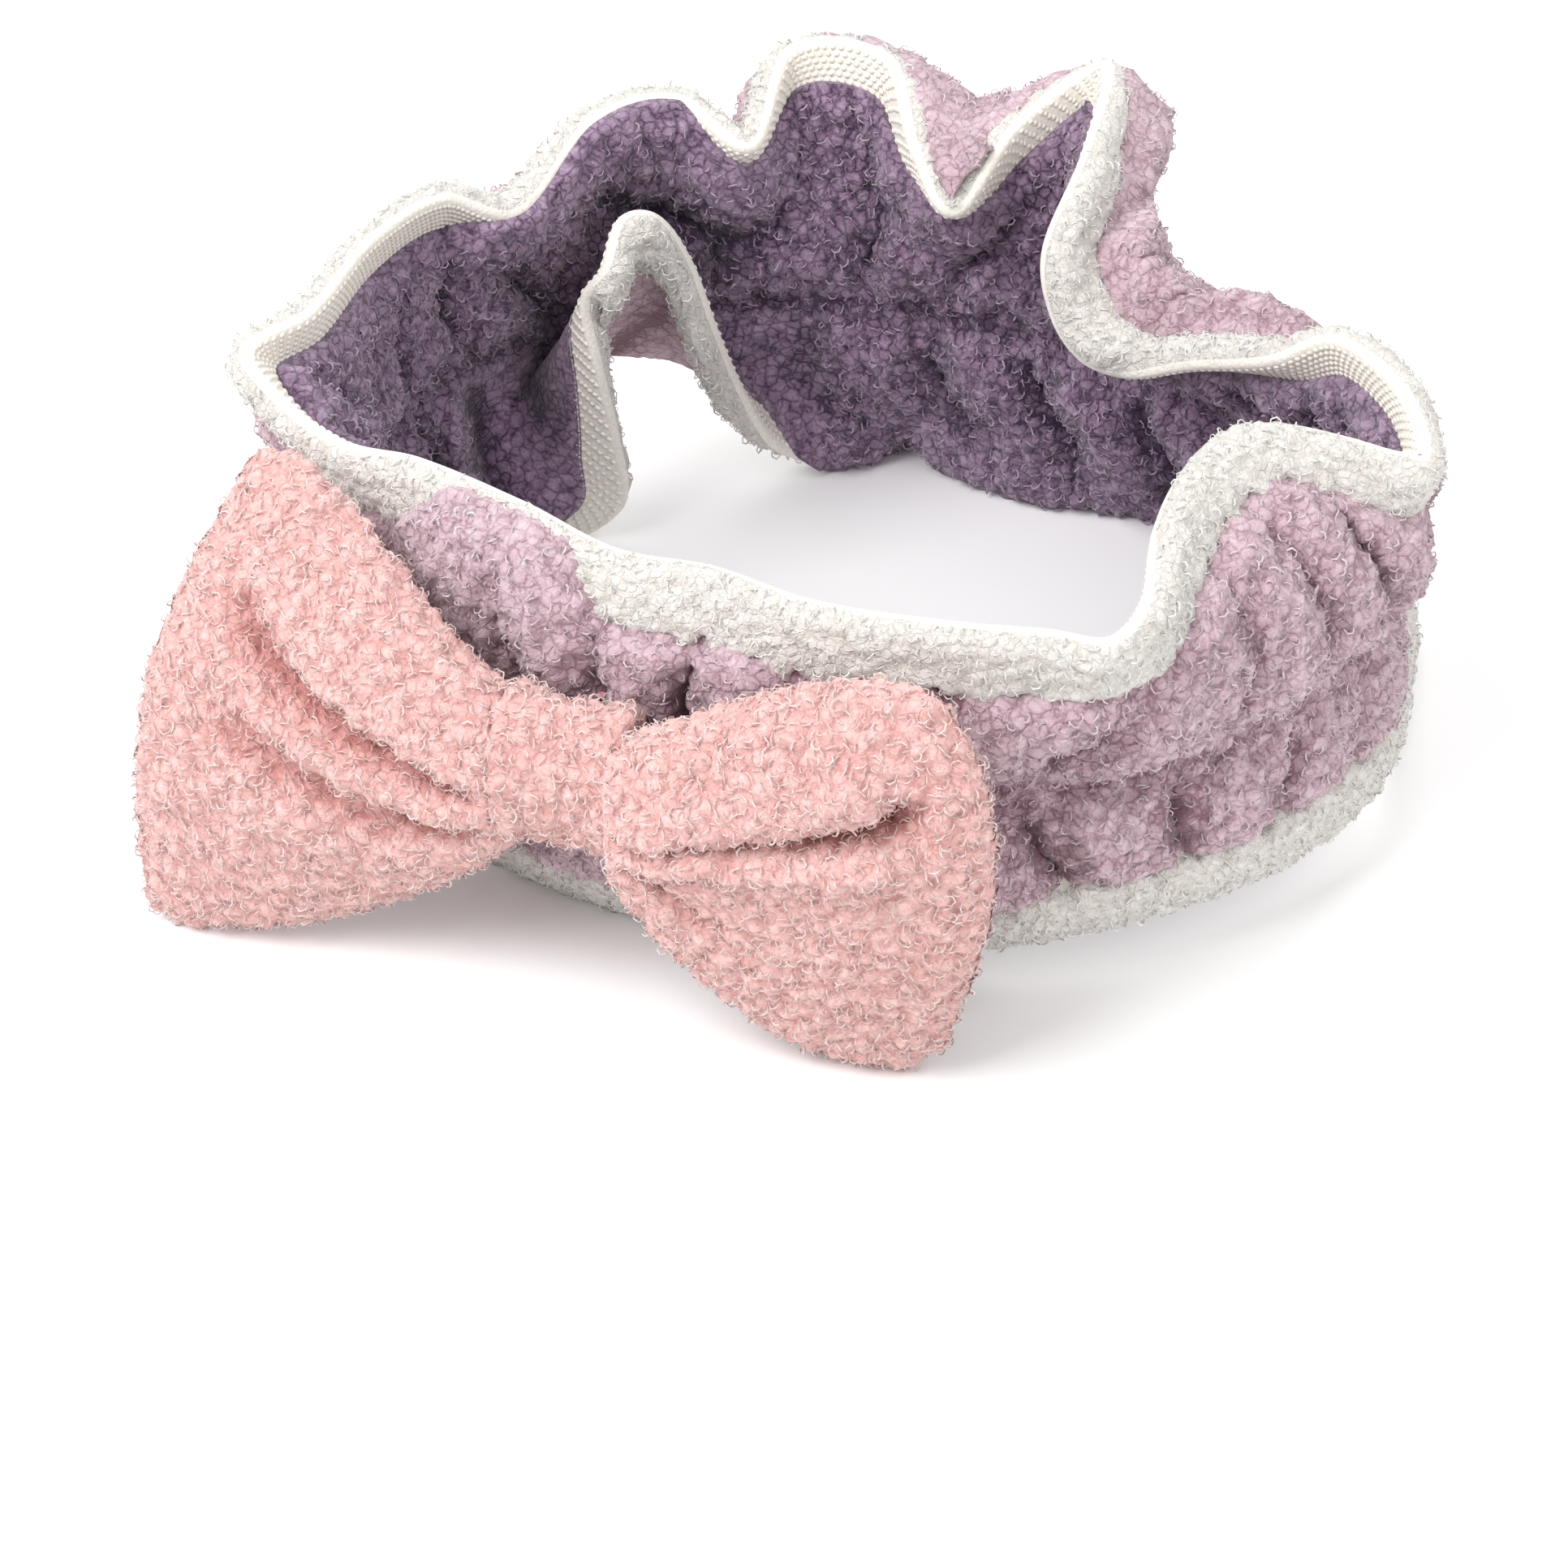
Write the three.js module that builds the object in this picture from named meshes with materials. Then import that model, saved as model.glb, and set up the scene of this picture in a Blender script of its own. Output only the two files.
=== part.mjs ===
// Spa headband: two fleece panels gathered on an elastic, their long edges bound with fleece tape,
// and a pinched fleece bow sewn to the front.
// Millimetres, +Z up. The bow faces -Y. The headband stands on its lower edge on the plane z = 0,
// and the origin lies on that plane under the middle of the whole.
//
// Fabric is soft, so each body is one stiff piece of it: the loop is divided at its two sides into
// a front and a back part, which draw apart as the elastic stretches, and each wing of the bow
// bends at the knot.
import * as THREE from 'three';

// ---------- Driving sizes ----------

// Elastic loop at rest, measured on its centre line
const LOOP_WIDTH = 172;
const LOOP_DEPTH = 132;
const ELASTIC_HEIGHT = 40;
const ELASTIC_WIDTH = 10;
const ELASTIC_THICKNESS = 1.1;

// Fleece panels, one on each face of the band
const PANEL_THICKNESS = 2.5;
const PANEL_GAP = 2;
const PANEL_BULGE = 3;
const UPPER_UPRIGHT = 23;
const LOWER_UPRIGHT = 28;

// Edge tape: a head with pile on its outer side, and a flat root sewn in between the panels. The
// head is a little thinner where it leaves the panel and where it rounds over at the lip.
const TAPE_WIDTH = 12;
const TAPE_PILE = 3;
const TAPE_BACK = 1.2;
const TAPE_ROOT = 7;
const TAPE_ROOT_THICKNESS = 1;
const TAPE_CLEARANCE = 1;

// Seams
const CHANNEL_HALF_WIDTH = 7;
const CHANNEL_THREAD = 0.8;
const EDGE_THREAD = 0.5;
const EDGE_SEAM_INSET = 1;
const EDGE_SEAM_GAP = 0.9;

// Bow
const KNOT_X = -20.5;
const KNOT_HEIGHT = 46;
const WRAP_LENGTH = 21;
const WRAP_DEPTH = 20;
const WRAP_TALL = 29;
const WRAP_WALL = 4;
const CINCH_THREAD = 0.8;
const CINCH_TURNS = 3;
const TACK_LENGTH = 4;
const TACK_THREAD = 1;
const TACK_SPACING = 15;
const WING_GAP = 2;

const FIT_GAP = 0.3;
const DIVISION_GAP = 1.5;
const HALF_TURN = 180;
const FRONT_START = -90;
const COLUMNS_PER_HALF = 48;

// Ruffled edges, as knots in the order of the loop. Angles run from the front (0) by the right
// side (90) to the back (180). Each knot has the elastic's angle that it is gathered to, its own
// angle, how far it stands outside the elastic, and its height.
const UPPER_KNOTS = [
  [-1, -2, -3, 76],
  [9, 9, 0, 75],
  [22, 24, 4, 75],
  [30, 33, 6, 74],
  [37, 39, 9, 73],
  [44, 45, 2, 74],
  [53, 53, -12, 76],
  [62, 66, -21, 77],
  [71, 80, -22, 78],
  [78, 88, -15, 78],
  [84, 88, -4, 78],
  [89, 88, 5, 77],
  [94, 88, 10, 78],
  [101, 97, 4, 82],
  [110, 110, -6, 81],
  [119, 116, -15, 73],
  [129, 131, -22, 64],
  [137, 140, -27, 59],
  [144, 147, -30, 60],
  [151, 155, -29, 66],
  [157, 160, -24, 75],
  [163, 164, -8, 81],
  [169, 170, 18, 82],
  [175, 175, 0, 78],
  [180, 178, -16, 72],
  [187, 186, -9, 77],
  [196, 196, 11, 84],
  [206, 205, -12, 78],
  [216, 215, -2, 84],
  [229, 228, -5, 84],
  [243, 246, -13, 76],
  [256, 257, -7, 82],
  [270, 272, -2, 82],
  [284, 292, 5, 79],
  [293, 299, 17, 75],
  [301, 305, 14, 71],
  [309, 311, 8, 74],
  [319, 320, 2, 77],
  [334, 335, -1, 78],
  [347, 347, -1, 76],
];
const LOWER_KNOTS = [
  [-5, -5, -6, 1],
  [14, 15, -10, 0],
  [35, 35, -14, -1],
  [55, 55, -14, -1],
  [77, 78, -7, -1],
  [95, 97, 1, -1],
  [107, 109, 10, 1],
  [121, 125, 21, 2],
  [132, 134, 24, 4],
  [144, 149, 16, 0],
  [157, 162, 13, 0],
  [168, 171, 5, -1],
  [179, 182, 7, 1],
  [187, 188, 15, 2],
  [193, 194, 7, -1],
  [198, 199, 0, 3],
  [203, 204, -6, 11],
  [208, 209, -15, 23],
  [213, 214, -23, 35],
  [217, 218, -27, 44],
  [222, 223, -30, 51],
  [227, 229, -30, 50],
  [232, 234, -32, 45],
  [236, 235, -33, 36],
  [240, 233, -32, 25],
  [244, 229, -27, 12],
  [249, 228, -18, 2],
  [255, 236, -9, -1],
  [262, 248, -2, 0],
  [272, 267, 4, 2],
  [285, 284, 0, -1],
  [300, 300, 2, 1],
  [316, 316, -4, -1],
  [335, 335, -4, 0],
];

// Wings of the bow: the path of the top edge, of the middle and of the bottom edge, from the knot
// out. Each point has its distance from the knot's middle, how far it stands in front of the
// band's own curve, and its height.
const LEFT_WING = {
  top: [[0, 3, 62], [13, 3, 71], [25, 4, 75], [36, 7, 78], [46, 12, 80]],
  middle: [[0, 5, 46], [17, 12, 47], [33, 23, 47], [47, 37, 46], [59, 53, 47]],
  bottom: [[0, 3, 30], [13, 8, 18], [27, 19, 8], [43, 38, 3], [60, 60, -1]],
  thickness: [6, 15, 17, 15, 9],
};
const RIGHT_WING = {
  top: [[0, 1, 62], [12, 0, 71], [27, 0, 74], [43, 5, 76]],
  middle: [[0, 3, 46], [19, 2, 46], [38, 6, 47], [57, 15, 49]],
  bottom: [[0, 1, 30], [9, 1, 17], [28, 2, 4], [47, 8, -1]],
  thickness: [6, 15, 16, 9],
};
const WING_STATIONS = 11;
const WING_RING_HALF = 8;

// ---------- Surface of the band ----------

const radians = THREE.MathUtils.degToRad;

/** Point beside the elastic loop: its angle, how far outside the elastic it is, and its height. */
function loopPoint(angle, out, height) {
  return new THREE.Vector3(
    (LOOP_WIDTH / 2 + out) * Math.sin(radians(angle)),
    -(LOOP_DEPTH / 2 + out) * Math.cos(radians(angle)),
    height,
  );
}

/** Closed smooth curve through an edge's knots, as a function of the elastic's angle. */
function edgeCurve(knots) {
  const points = knots.map(([, angle, out, height]) => loopPoint(angle, out, height));
  const count = knots.length;
  const angleOf = (i) => knots[(i + count) % count][0] + 360 * Math.floor(i / count);
  const pointOf = (i) => points[(i + count) % count];
  const slopeOf = (i) => pointOf(i + 1).clone().sub(pointOf(i - 1))
    .divideScalar(angleOf(i + 1) - angleOf(i - 1));
  return (angle) => {
    const wrapped = THREE.MathUtils.euclideanModulo(angle - knots[0][0], 360) + knots[0][0];
    let i = 0;
    while (angleOf(i + 1) <= wrapped) {
      i += 1;
    }
    const span = angleOf(i + 1) - angleOf(i);
    const t = (wrapped - angleOf(i)) / span;
    return pointOf(i).clone().multiplyScalar(2 * t ** 3 - 3 * t ** 2 + 1)
      .addScaledVector(slopeOf(i), span * (t ** 3 - 2 * t ** 2 + t))
      .addScaledVector(pointOf(i + 1), 3 * t ** 2 - 2 * t ** 3)
      .addScaledVector(slopeOf(i + 1), span * (t ** 3 - t ** 2));
  };
}

const upperEdge = edgeCurve(UPPER_KNOTS);
const lowerEdge = edgeCurve(LOWER_KNOTS);

/** Edge point on one side of the elastic: side is 1 for the upper edge, -1 for the lower. */
function edgePoint(angle, side) {
  return side > 0 ? upperEdge(angle) : lowerEdge(angle);
}

/**
 * Middle of the band's thickness. The share is 0 on the elastic, 1 and -1 on the edges. The band
 * leaves the elastic upright and curves over to its edge, as a held strip of cloth does.
 */
function bandPoint(angle, share) {
  const reach = Math.abs(share);
  const side = Math.sign(share) || 1;
  const bulge = PANEL_BULGE * Math.sin(Math.PI * Math.min(reach, 1)) ** 2;
  const root = loopPoint(angle, 0, ELASTIC_HEIGHT);
  const edge = edgePoint(angle, side);
  const upright = root.clone().setZ(root.z + (side > 0 ? UPPER_UPRIGHT : -LOWER_UPRIGHT));
  return loopPoint(angle, bulge, ELASTIC_HEIGHT).sub(root)
    .addScaledVector(root, (1 - reach) ** 2)
    .addScaledVector(upright, 2 * reach * (1 - reach))
    .addScaledVector(edge, reach ** 2);
}

/** Direction out of the band's outer face. */
function bandNormal(angle, share) {
  const turn = 1.5;
  const step = 0.05;
  const along = bandPoint(angle + turn, share).sub(bandPoint(angle - turn, share));
  const across = bandPoint(angle, share + step).sub(bandPoint(angle, share - step));
  return along.cross(across).normalize();
}

const LENGTH_STEPS = 24;
const lengthTables = new Map();

/** Lengths along the cloth from the elastic out to one edge, at even shares of the way. */
function clothLengths(angle, side) {
  const key = side * (angle + 1000);
  if (!lengthTables.has(key)) {
    const lengths = [0];
    for (let i = 1; i <= LENGTH_STEPS; i += 1) {
      const from = bandPoint(angle, (side * (i - 1)) / LENGTH_STEPS);
      lengths.push(lengths[i - 1] + from.distanceTo(bandPoint(angle, (side * i) / LENGTH_STEPS)));
    }
    lengthTables.set(key, lengths);
  }
  return lengthTables.get(key);
}

/** Share of the way at a distance along the cloth from the elastic, signed by its side. */
function shareFromElastic(angle, distance) {
  const side = Math.sign(distance) || 1;
  const lengths = clothLengths(angle, side);
  const reach = Math.abs(distance);
  let i = 0;
  while (i < LENGTH_STEPS - 1 && lengths[i + 1] < reach) {
    i += 1;
  }
  return (side * (i + (reach - lengths[i]) / (lengths[i + 1] - lengths[i]))) / LENGTH_STEPS;
}

/** Share of the way at a distance along the cloth back from one edge. */
function shareFromEdge(angle, side, distance) {
  return shareFromElastic(angle, side * (clothLengths(angle, side)[LENGTH_STEPS] - distance));
}

// ---------- Closed meshes ----------

/**
 * Triangles that close a ring of points across its width. A ring runs along one face and back
 * along the other, so its corners pair up from the two ends of the list.
 */
function capTriangles(size) {
  const triangles = [];
  for (let i = 0, j = size - 1; i + 1 < j; i += 1, j -= 1) {
    triangles.push([i, i + 1, j]);
    if (i + 1 < j - 1) {
      triangles.push([i + 1, j - 1, j]);
    }
  }
  return triangles;
}

/**
 * Closed solid through rings of points. The outline is the rings' flat, anticlockwise shape. Each
 * quad is split along the same diagonal of the cloth on both faces, so that layers stay apart.
 */
function solidThroughRings(rings, outline) {
  const size = outline.length;
  const last = (rings.length - 1) * size;
  const faces = [];
  for (let j = 0; j < size; j += 1) {
    const next = (j + 1) % size;
    const rising = outline[j][0] < outline[next][0];
    for (let start = 0; start < last; start += size) {
      const [a, b, c, d] = [start + j, start + next, start + size + j, start + size + next];
      faces.push(...(rising ? [[a, c, b], [b, c, d]] : [[a, c, d], [a, d, b]]));
    }
  }
  for (const [a, b, c] of capTriangles(size)) {
    faces.push([a, b, c], [last + a, last + c, last + b]);
  }
  const points = rings.flat();
  const volume = faces.reduce(
    (sum, [a, b, c]) => sum + points[a].dot(points[b].clone().cross(points[c])), 0);
  const geometry = new THREE.BufferGeometry().setFromPoints(points);
  geometry.setIndex(faces.map(([a, b, c]) => (volume > 0 ? [a, b, c] : [a, c, b])).flat());
  geometry.computeVertexNormals();
  return geometry;
}

/** Angles of the elastic between two ends, closer together where the edges are gathered more. */
function columnAngles(start, end) {
  const step = 0.5;
  const count = Math.round((end - start) / step);
  const measures = [0];
  for (let i = 1; i <= count; i += 1) {
    const [from, to] = [i - 1, i].map((k) => start + ((end - start) * k) / count);
    const spread = [-1, 0, 1]
      .map((share) => bandPoint(from, share).distanceTo(bandPoint(to, share)))
      .reduce((sum, length) => sum + length);
    measures.push(measures[i - 1] + spread);
  }
  const angles = [];
  for (let i = 0, k = 0; i <= COLUMNS_PER_HALF; i += 1) {
    const goal = (measures[count] * i) / COLUMNS_PER_HALF;
    while (k < count - 1 && measures[k + 1] < goal) {
      k += 1;
    }
    const part = (goal - measures[k]) / (measures[k + 1] - measures[k]);
    angles.push(start + ((end - start) * (k + part)) / count);
  }
  return angles;
}

/** Strip of the band through columns of angles: a section gives its [share, lift] corners. */
function bandStrip(section, angles) {
  const rings = angles.map((angle) => section(angle).map(([share, lift]) => {
    const point = bandPoint(angle, share).addScaledVector(bandNormal(angle, share), lift);
    return point.setZ(Math.max(point.z, 0));
  }));
  return solidThroughRings(rings, flatOutline(section(angles[0]), angles[0]));
}

/** A section's corners in millimetres: the distance along the cloth, and the lift. */
function flatOutline(corners, angle) {
  return corners.map(([share, lift]) => {
    const length = clothLengths(angle, Math.sign(share) || 1)[LENGTH_STEPS];
    return [share * length, lift];
  });
}

// ---------- Sections of the band's pieces ----------

/** Fleece panel between two lifts off the band's middle, from one edge tape to the other. */
function panelSection(low, high) {
  const rows = (angle, side) => {
    const channel = shareFromElastic(angle, side * CHANNEL_HALF_WIDTH);
    const rootEnd = shareFromEdge(angle, side, TAPE_WIDTH + TAPE_ROOT);
    const border = shareFromEdge(angle, side, TAPE_WIDTH + TAPE_CLEARANCE);
    return [channel, (channel + rootEnd) / 2, rootEnd, border];
  };
  return (angle) => {
    const shares = [...rows(angle, -1).reverse(), 0, ...rows(angle, 1)];
    return [
      ...shares.map((share) => [share, low]),
      ...shares.map((share) => [share, high]).reverse(),
    ];
  };
}

/** Edge tape: a thick head along the edge, and its root between the panels. */
function tapeSection(side) {
  const root = TAPE_ROOT_THICKNESS / 2;
  const corners = [
    [TAPE_WIDTH + TAPE_ROOT, root],
    [TAPE_WIDTH + TAPE_CLEARANCE, root],
    [TAPE_WIDTH, root],
    [TAPE_WIDTH, TAPE_PILE * 0.9],
    [TAPE_WIDTH / 4, TAPE_PILE],
    [0, TAPE_PILE / 2],
    [0, -TAPE_BACK * 0.7],
    [TAPE_WIDTH / 2, -TAPE_BACK],
    [TAPE_WIDTH, -TAPE_BACK],
    [TAPE_WIDTH, -root],
    [TAPE_WIDTH + TAPE_CLEARANCE, -root],
    [TAPE_WIDTH + TAPE_ROOT, -root],
  ];
  if (side > 0) {
    corners.reverse();
  }
  return (angle) => corners.map(([back, lift]) => [shareFromEdge(angle, side, back), lift]);
}

/** Rectangular section about the elastic's centre line. */
function elasticSection(angle) {
  const top = shareFromElastic(angle, ELASTIC_WIDTH / 2);
  const bottom = shareFromElastic(angle, -ELASTIC_WIDTH / 2);
  const half = ELASTIC_THICKNESS / 2;
  return [[bottom, -half], [0, -half], [top, -half], [top, half], [0, half], [bottom, half]];
}

/** Seam thread beside the elastic, in the gap between the panels. */
function channelSeamSection(side) {
  const half = CHANNEL_THREAD / 2;
  return (angle) => {
    const near = shareFromElastic(angle, side * (CHANNEL_HALF_WIDTH - half));
    const far = shareFromElastic(angle, side * (CHANNEL_HALF_WIDTH + half));
    const [bottom, top] = [Math.min(near, far), Math.max(near, far)];
    return [[bottom, -half], [top, -half], [top, half], [bottom, half]];
  };
}

/** Seam thread on the inner face of an edge tape, near the panel. */
function edgeSeamSection(side) {
  const high = -TAPE_BACK - EDGE_SEAM_GAP;
  const low = high - EDGE_THREAD;
  const inset = TAPE_WIDTH - EDGE_SEAM_INSET;
  return (angle) => {
    const ends = [inset, inset - EDGE_THREAD].map((back) => shareFromEdge(angle, side, back));
    const [bottom, top] = [Math.min(...ends), Math.max(...ends)];
    return [[bottom, low], [top, low], [top, high], [bottom, high]];
  };
}

// ---------- Materials ----------

function fabric(color, roughness) {
  return new THREE.MeshStandardMaterial({ color, roughness, metalness: 0 });
}

const MAUVE_FLEECE = fabric(0xcdb3c2, 0.95);
const PURPLE_FLEECE = fabric(0x876a93, 0.95);
const CREAM_TAPE = fabric(0xefe9e2, 0.9);
const PINK_FLEECE = fabric(0xefbfbc, 0.95);
const WHITE_ELASTIC = fabric(0xf2f0ec, 0.7);
const CREAM_THREAD = fabric(0xe8e0d6, 0.6);
const PINK_THREAD = fabric(0xe3a9a6, 0.6);
const MAUVE_THREAD = fabric(0xa98fa6, 0.6);

const headband = new THREE.Group();

/** Adds one named piece to the headband. */
function addPiece(name, geometry, material) {
  const mesh = new THREE.Mesh(geometry, material);
  mesh.name = name;
  headband.add(mesh);
  return mesh;
}

// ---------- Band: the same nine pieces in front and at the back ----------

const PANEL_INNER_LIFT = PANEL_GAP / 2;
const PANEL_OUTER_LIFT = PANEL_GAP / 2 + PANEL_THICKNESS;
const BAND_PIECES = [
  ['outer_panel', panelSection(PANEL_INNER_LIFT, PANEL_OUTER_LIFT), MAUVE_FLEECE],
  ['inner_panel', panelSection(-PANEL_OUTER_LIFT, -PANEL_INNER_LIFT), PURPLE_FLEECE],
  ['upper_edge_tape', tapeSection(1), CREAM_TAPE],
  ['lower_edge_tape', tapeSection(-1), CREAM_TAPE],
  ['elastic', elasticSection, WHITE_ELASTIC],
  ['upper_channel_seam', channelSeamSection(1), MAUVE_THREAD],
  ['lower_channel_seam', channelSeamSection(-1), MAUVE_THREAD],
  ['upper_edge_seam', edgeSeamSection(1), CREAM_THREAD],
  ['lower_edge_seam', edgeSeamSection(-1), CREAM_THREAD],
];

/** Half of the division between front and back, as an angle of the loop. */
const DIVISION_HALF_ANGLE = THREE.MathUtils.radToDeg(DIVISION_GAP / LOOP_DEPTH);

function addBandPart(suffix, start) {
  const angles = columnAngles(
    start + DIVISION_HALF_ANGLE, start + HALF_TURN - DIVISION_HALF_ANGLE);
  for (const [name, section, material] of BAND_PIECES) {
    addPiece(`${name}_${suffix}`, bandStrip(section, angles), material);
  }
}

addBandPart('front', FRONT_START);
addBandPart('back', FRONT_START + HALF_TURN);

// ---------- Bow ----------

/** How far the band's front curves back at a place, against the knot's place. */
function curveBack(x) {
  const fullness = 0.75;
  return (fullness * LOOP_DEPTH / 2) * (x ** 2 - KNOT_X ** 2) / (LOOP_WIDTH / 2) ** 2;
}

/** Frontmost Y of the outer panel behind the knot's wrap. */
function bandFrontBehindKnot() {
  const farthestAngle = -30;
  const angleStep = 2;
  const reach = 0.75;
  const shareStep = reach / 8;
  let front = 0;
  for (let angle = farthestAngle; angle <= 0; angle += angleStep) {
    for (let share = -reach; share <= reach; share += shareStep) {
      const face = bandPoint(angle, share)
        .addScaledVector(bandNormal(angle, share), PANEL_OUTER_LIFT);
      const beside = Math.abs(face.x - KNOT_X) < WRAP_LENGTH / 2;
      const level = Math.abs(face.z - KNOT_HEIGHT) < WRAP_TALL / 2;
      front = beside && level ? Math.min(front, face.y) : front;
    }
  }
  return front;
}

const TACK_SPACE = TACK_THREAD + 2 * FIT_GAP;
const WRAP_BACK_Y = bandFrontBehindKnot() - TACK_SPACE;
const KNOT_Y = WRAP_BACK_Y - WRAP_DEPTH / 2;

/** Ellipse outline in the plane across the bow's length: x is the height, y the depth. */
function ellipsePath(tall, deep, Kind = THREE.Shape) {
  const path = new Kind();
  path.absellipse(0, 0, tall / 2, deep / 2, 0, 2 * Math.PI, false, 0);
  return path;
}

/** Piece extruded along the bow's length and centred on the knot. */
function alongKnot(shape, length) {
  const segments = 14;
  const geometry = new THREE.ExtrudeGeometry(
    shape, { depth: length, bevelEnabled: false, curveSegments: segments });
  return geometry.translate(0, 0, -length / 2)
    .rotateY(Math.PI / 2)
    .translate(KNOT_X, KNOT_Y, KNOT_HEIGHT);
}

/** Ring about the bow's waist between two ellipses that keep one distance apart. */
function waistRing(outerTall, outerDeep, wall, length) {
  const shape = ellipsePath(outerTall, outerDeep);
  shape.holes.push(ellipsePath(outerTall - 2 * wall, outerDeep - 2 * wall, THREE.Path));
  return alongKnot(shape, length);
}

function addKnot() {
  const holeTall = WRAP_TALL - 2 * WRAP_WALL;
  const holeDeep = WRAP_DEPTH - 2 * WRAP_WALL;
  const cinchTall = holeTall - 2 * FIT_GAP;
  const cinchDeep = holeDeep - 2 * FIT_GAP;
  const waistTall = cinchTall - 2 * CINCH_THREAD - 2 * FIT_GAP;
  const waistDeep = cinchDeep - 2 * CINCH_THREAD - 2 * FIT_GAP;
  addPiece(
    'bow_knot_wrap', waistRing(WRAP_TALL, WRAP_DEPTH, WRAP_WALL, WRAP_LENGTH), PINK_FLEECE);
  addPiece(
    'bow_cinch_thread',
    waistRing(cinchTall, cinchDeep, CINCH_THREAD, CINCH_TURNS * CINCH_THREAD), PINK_THREAD);
  addPiece('bow_waist', alongKnot(ellipsePath(waistTall, waistDeep), WRAP_LENGTH), PINK_FLEECE);
  const tackY = WRAP_BACK_Y + TACK_SPACE / 2;
  for (const [name, side] of [['bow_tack_upper', 1], ['bow_tack_lower', -1]]) {
    const tack = addPiece(
      name, new THREE.CapsuleGeometry(TACK_THREAD / 2, TACK_LENGTH, 2, 6), PINK_THREAD);
    tack.rotation.z = Math.PI / 2;
    tack.position.set(KNOT_X, tackY, KNOT_HEIGHT + side * TACK_SPACING / 2);
  }
}

/** Smooth path of one line of a wing. Side is -1 for the left wing, 1 for the right. */
function wingPath(points, side) {
  const root = WRAP_LENGTH / 2 + WING_GAP;
  return new THREE.CatmullRomCurve3(points.map(([along, forward, height]) => {
    const x = KNOT_X + side * (root + along);
    return new THREE.Vector3(x, KNOT_Y + curveBack(x) - forward, height);
  }));
}

/** Value between the entries of a list, at a share of its length. */
function valueAlong(list, share) {
  const place = share * (list.length - 1);
  const i = Math.min(Math.floor(place), list.length - 2);
  return THREE.MathUtils.lerp(list[i], list[i + 1], place - i);
}

/** One ring of a wing: up its front face and down its back, about a bowed upright line. */
function wingRing([top, middle, bottom], normal, thickness, flat) {
  const line = new THREE.QuadraticBezierCurve3(
    bottom,
    middle.clone().multiplyScalar(2).addScaledVector(top, -0.5).addScaledVector(bottom, -0.5),
    top,
  );
  return flat.map(([rise, depth]) => {
    const point = line.getPoint(rise).addScaledVector(normal, depth * thickness / 2);
    return point.setZ(Math.max(point.z, 0));
  });
}

/** Anticlockwise outline of a wing's section: rise from 0 to 1, depth from -1 to 1. */
function wingOutline() {
  const outline = [];
  for (let i = 0; i < 2 * WING_RING_HALF; i += 1) {
    const turn = (Math.PI * i) / WING_RING_HALF;
    const depth = Math.sin(turn);
    outline.push([0.5 + 0.5 * Math.cos(turn), Math.sign(depth) * Math.sqrt(Math.abs(depth))]);
  }
  return outline;
}

function addWing(name, wing, side) {
  const paths = [wing.top, wing.middle, wing.bottom].map((points) => wingPath(points, side));
  const outline = wingOutline();
  const rings = [];
  for (let i = 0; i < WING_STATIONS; i += 1) {
    const share = i / (WING_STATIONS - 1);
    const line = paths.map((path) => path.getPoint(share));
    const along = paths[1].getTangent(share);
    const normal = line[0].clone().sub(line[2]).cross(along).normalize();
    rings.push(wingRing(line, normal, valueAlong(wing.thickness, share), outline));
  }
  addPiece(name, solidThroughRings(rings, outline), PINK_FLEECE);
}

addKnot();
addWing('bow_left_wing', LEFT_WING, -1);
addWing('bow_right_wing', RIGHT_WING, 1);

// ---------- Origin: on the resting plane, under the middle of the whole ----------

const middle = new THREE.Box3().setFromObject(headband, true).getCenter(new THREE.Vector3());
for (const piece of headband.children) {
  piece.position.x -= middle.x;
  piece.position.y -= middle.y;
}

export default headband;
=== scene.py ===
"""Looks of a spa headband: gathered fleece panels, fleece edge tapes and a pinched fleece bow.

Shapes are worked out in millimetres round the elastic loop and turned to metres when a mesh is
made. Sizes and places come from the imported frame; what shapes the cloth is named here.
"""
import logging
import math
from collections.abc import Iterator, Sequence
from contextlib import contextmanager
from dataclasses import dataclass, field, replace
from enum import Enum

import bmesh
import bpy
import numpy as np
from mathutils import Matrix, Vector


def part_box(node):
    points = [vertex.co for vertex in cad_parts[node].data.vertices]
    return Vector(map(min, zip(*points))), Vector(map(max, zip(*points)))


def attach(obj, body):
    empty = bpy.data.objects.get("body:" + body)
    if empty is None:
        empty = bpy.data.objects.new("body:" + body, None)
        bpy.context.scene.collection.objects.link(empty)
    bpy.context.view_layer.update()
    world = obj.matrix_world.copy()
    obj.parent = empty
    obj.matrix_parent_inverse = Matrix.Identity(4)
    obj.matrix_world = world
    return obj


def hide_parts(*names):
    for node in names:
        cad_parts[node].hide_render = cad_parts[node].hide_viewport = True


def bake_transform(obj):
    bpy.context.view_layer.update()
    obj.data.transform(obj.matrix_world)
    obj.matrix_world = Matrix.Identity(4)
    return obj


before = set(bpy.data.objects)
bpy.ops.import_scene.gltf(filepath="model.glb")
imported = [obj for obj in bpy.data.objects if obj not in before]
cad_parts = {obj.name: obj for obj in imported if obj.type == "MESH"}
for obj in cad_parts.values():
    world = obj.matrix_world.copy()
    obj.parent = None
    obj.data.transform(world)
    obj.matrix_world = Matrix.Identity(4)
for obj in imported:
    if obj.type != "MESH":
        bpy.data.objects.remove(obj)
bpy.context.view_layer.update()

MM = 0.001
MERGE_MM = 0.01
TURN = 360.0
log = logging.getLogger("headband")

FRONT = "front_band"


# ---------- Node trees ----------

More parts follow.
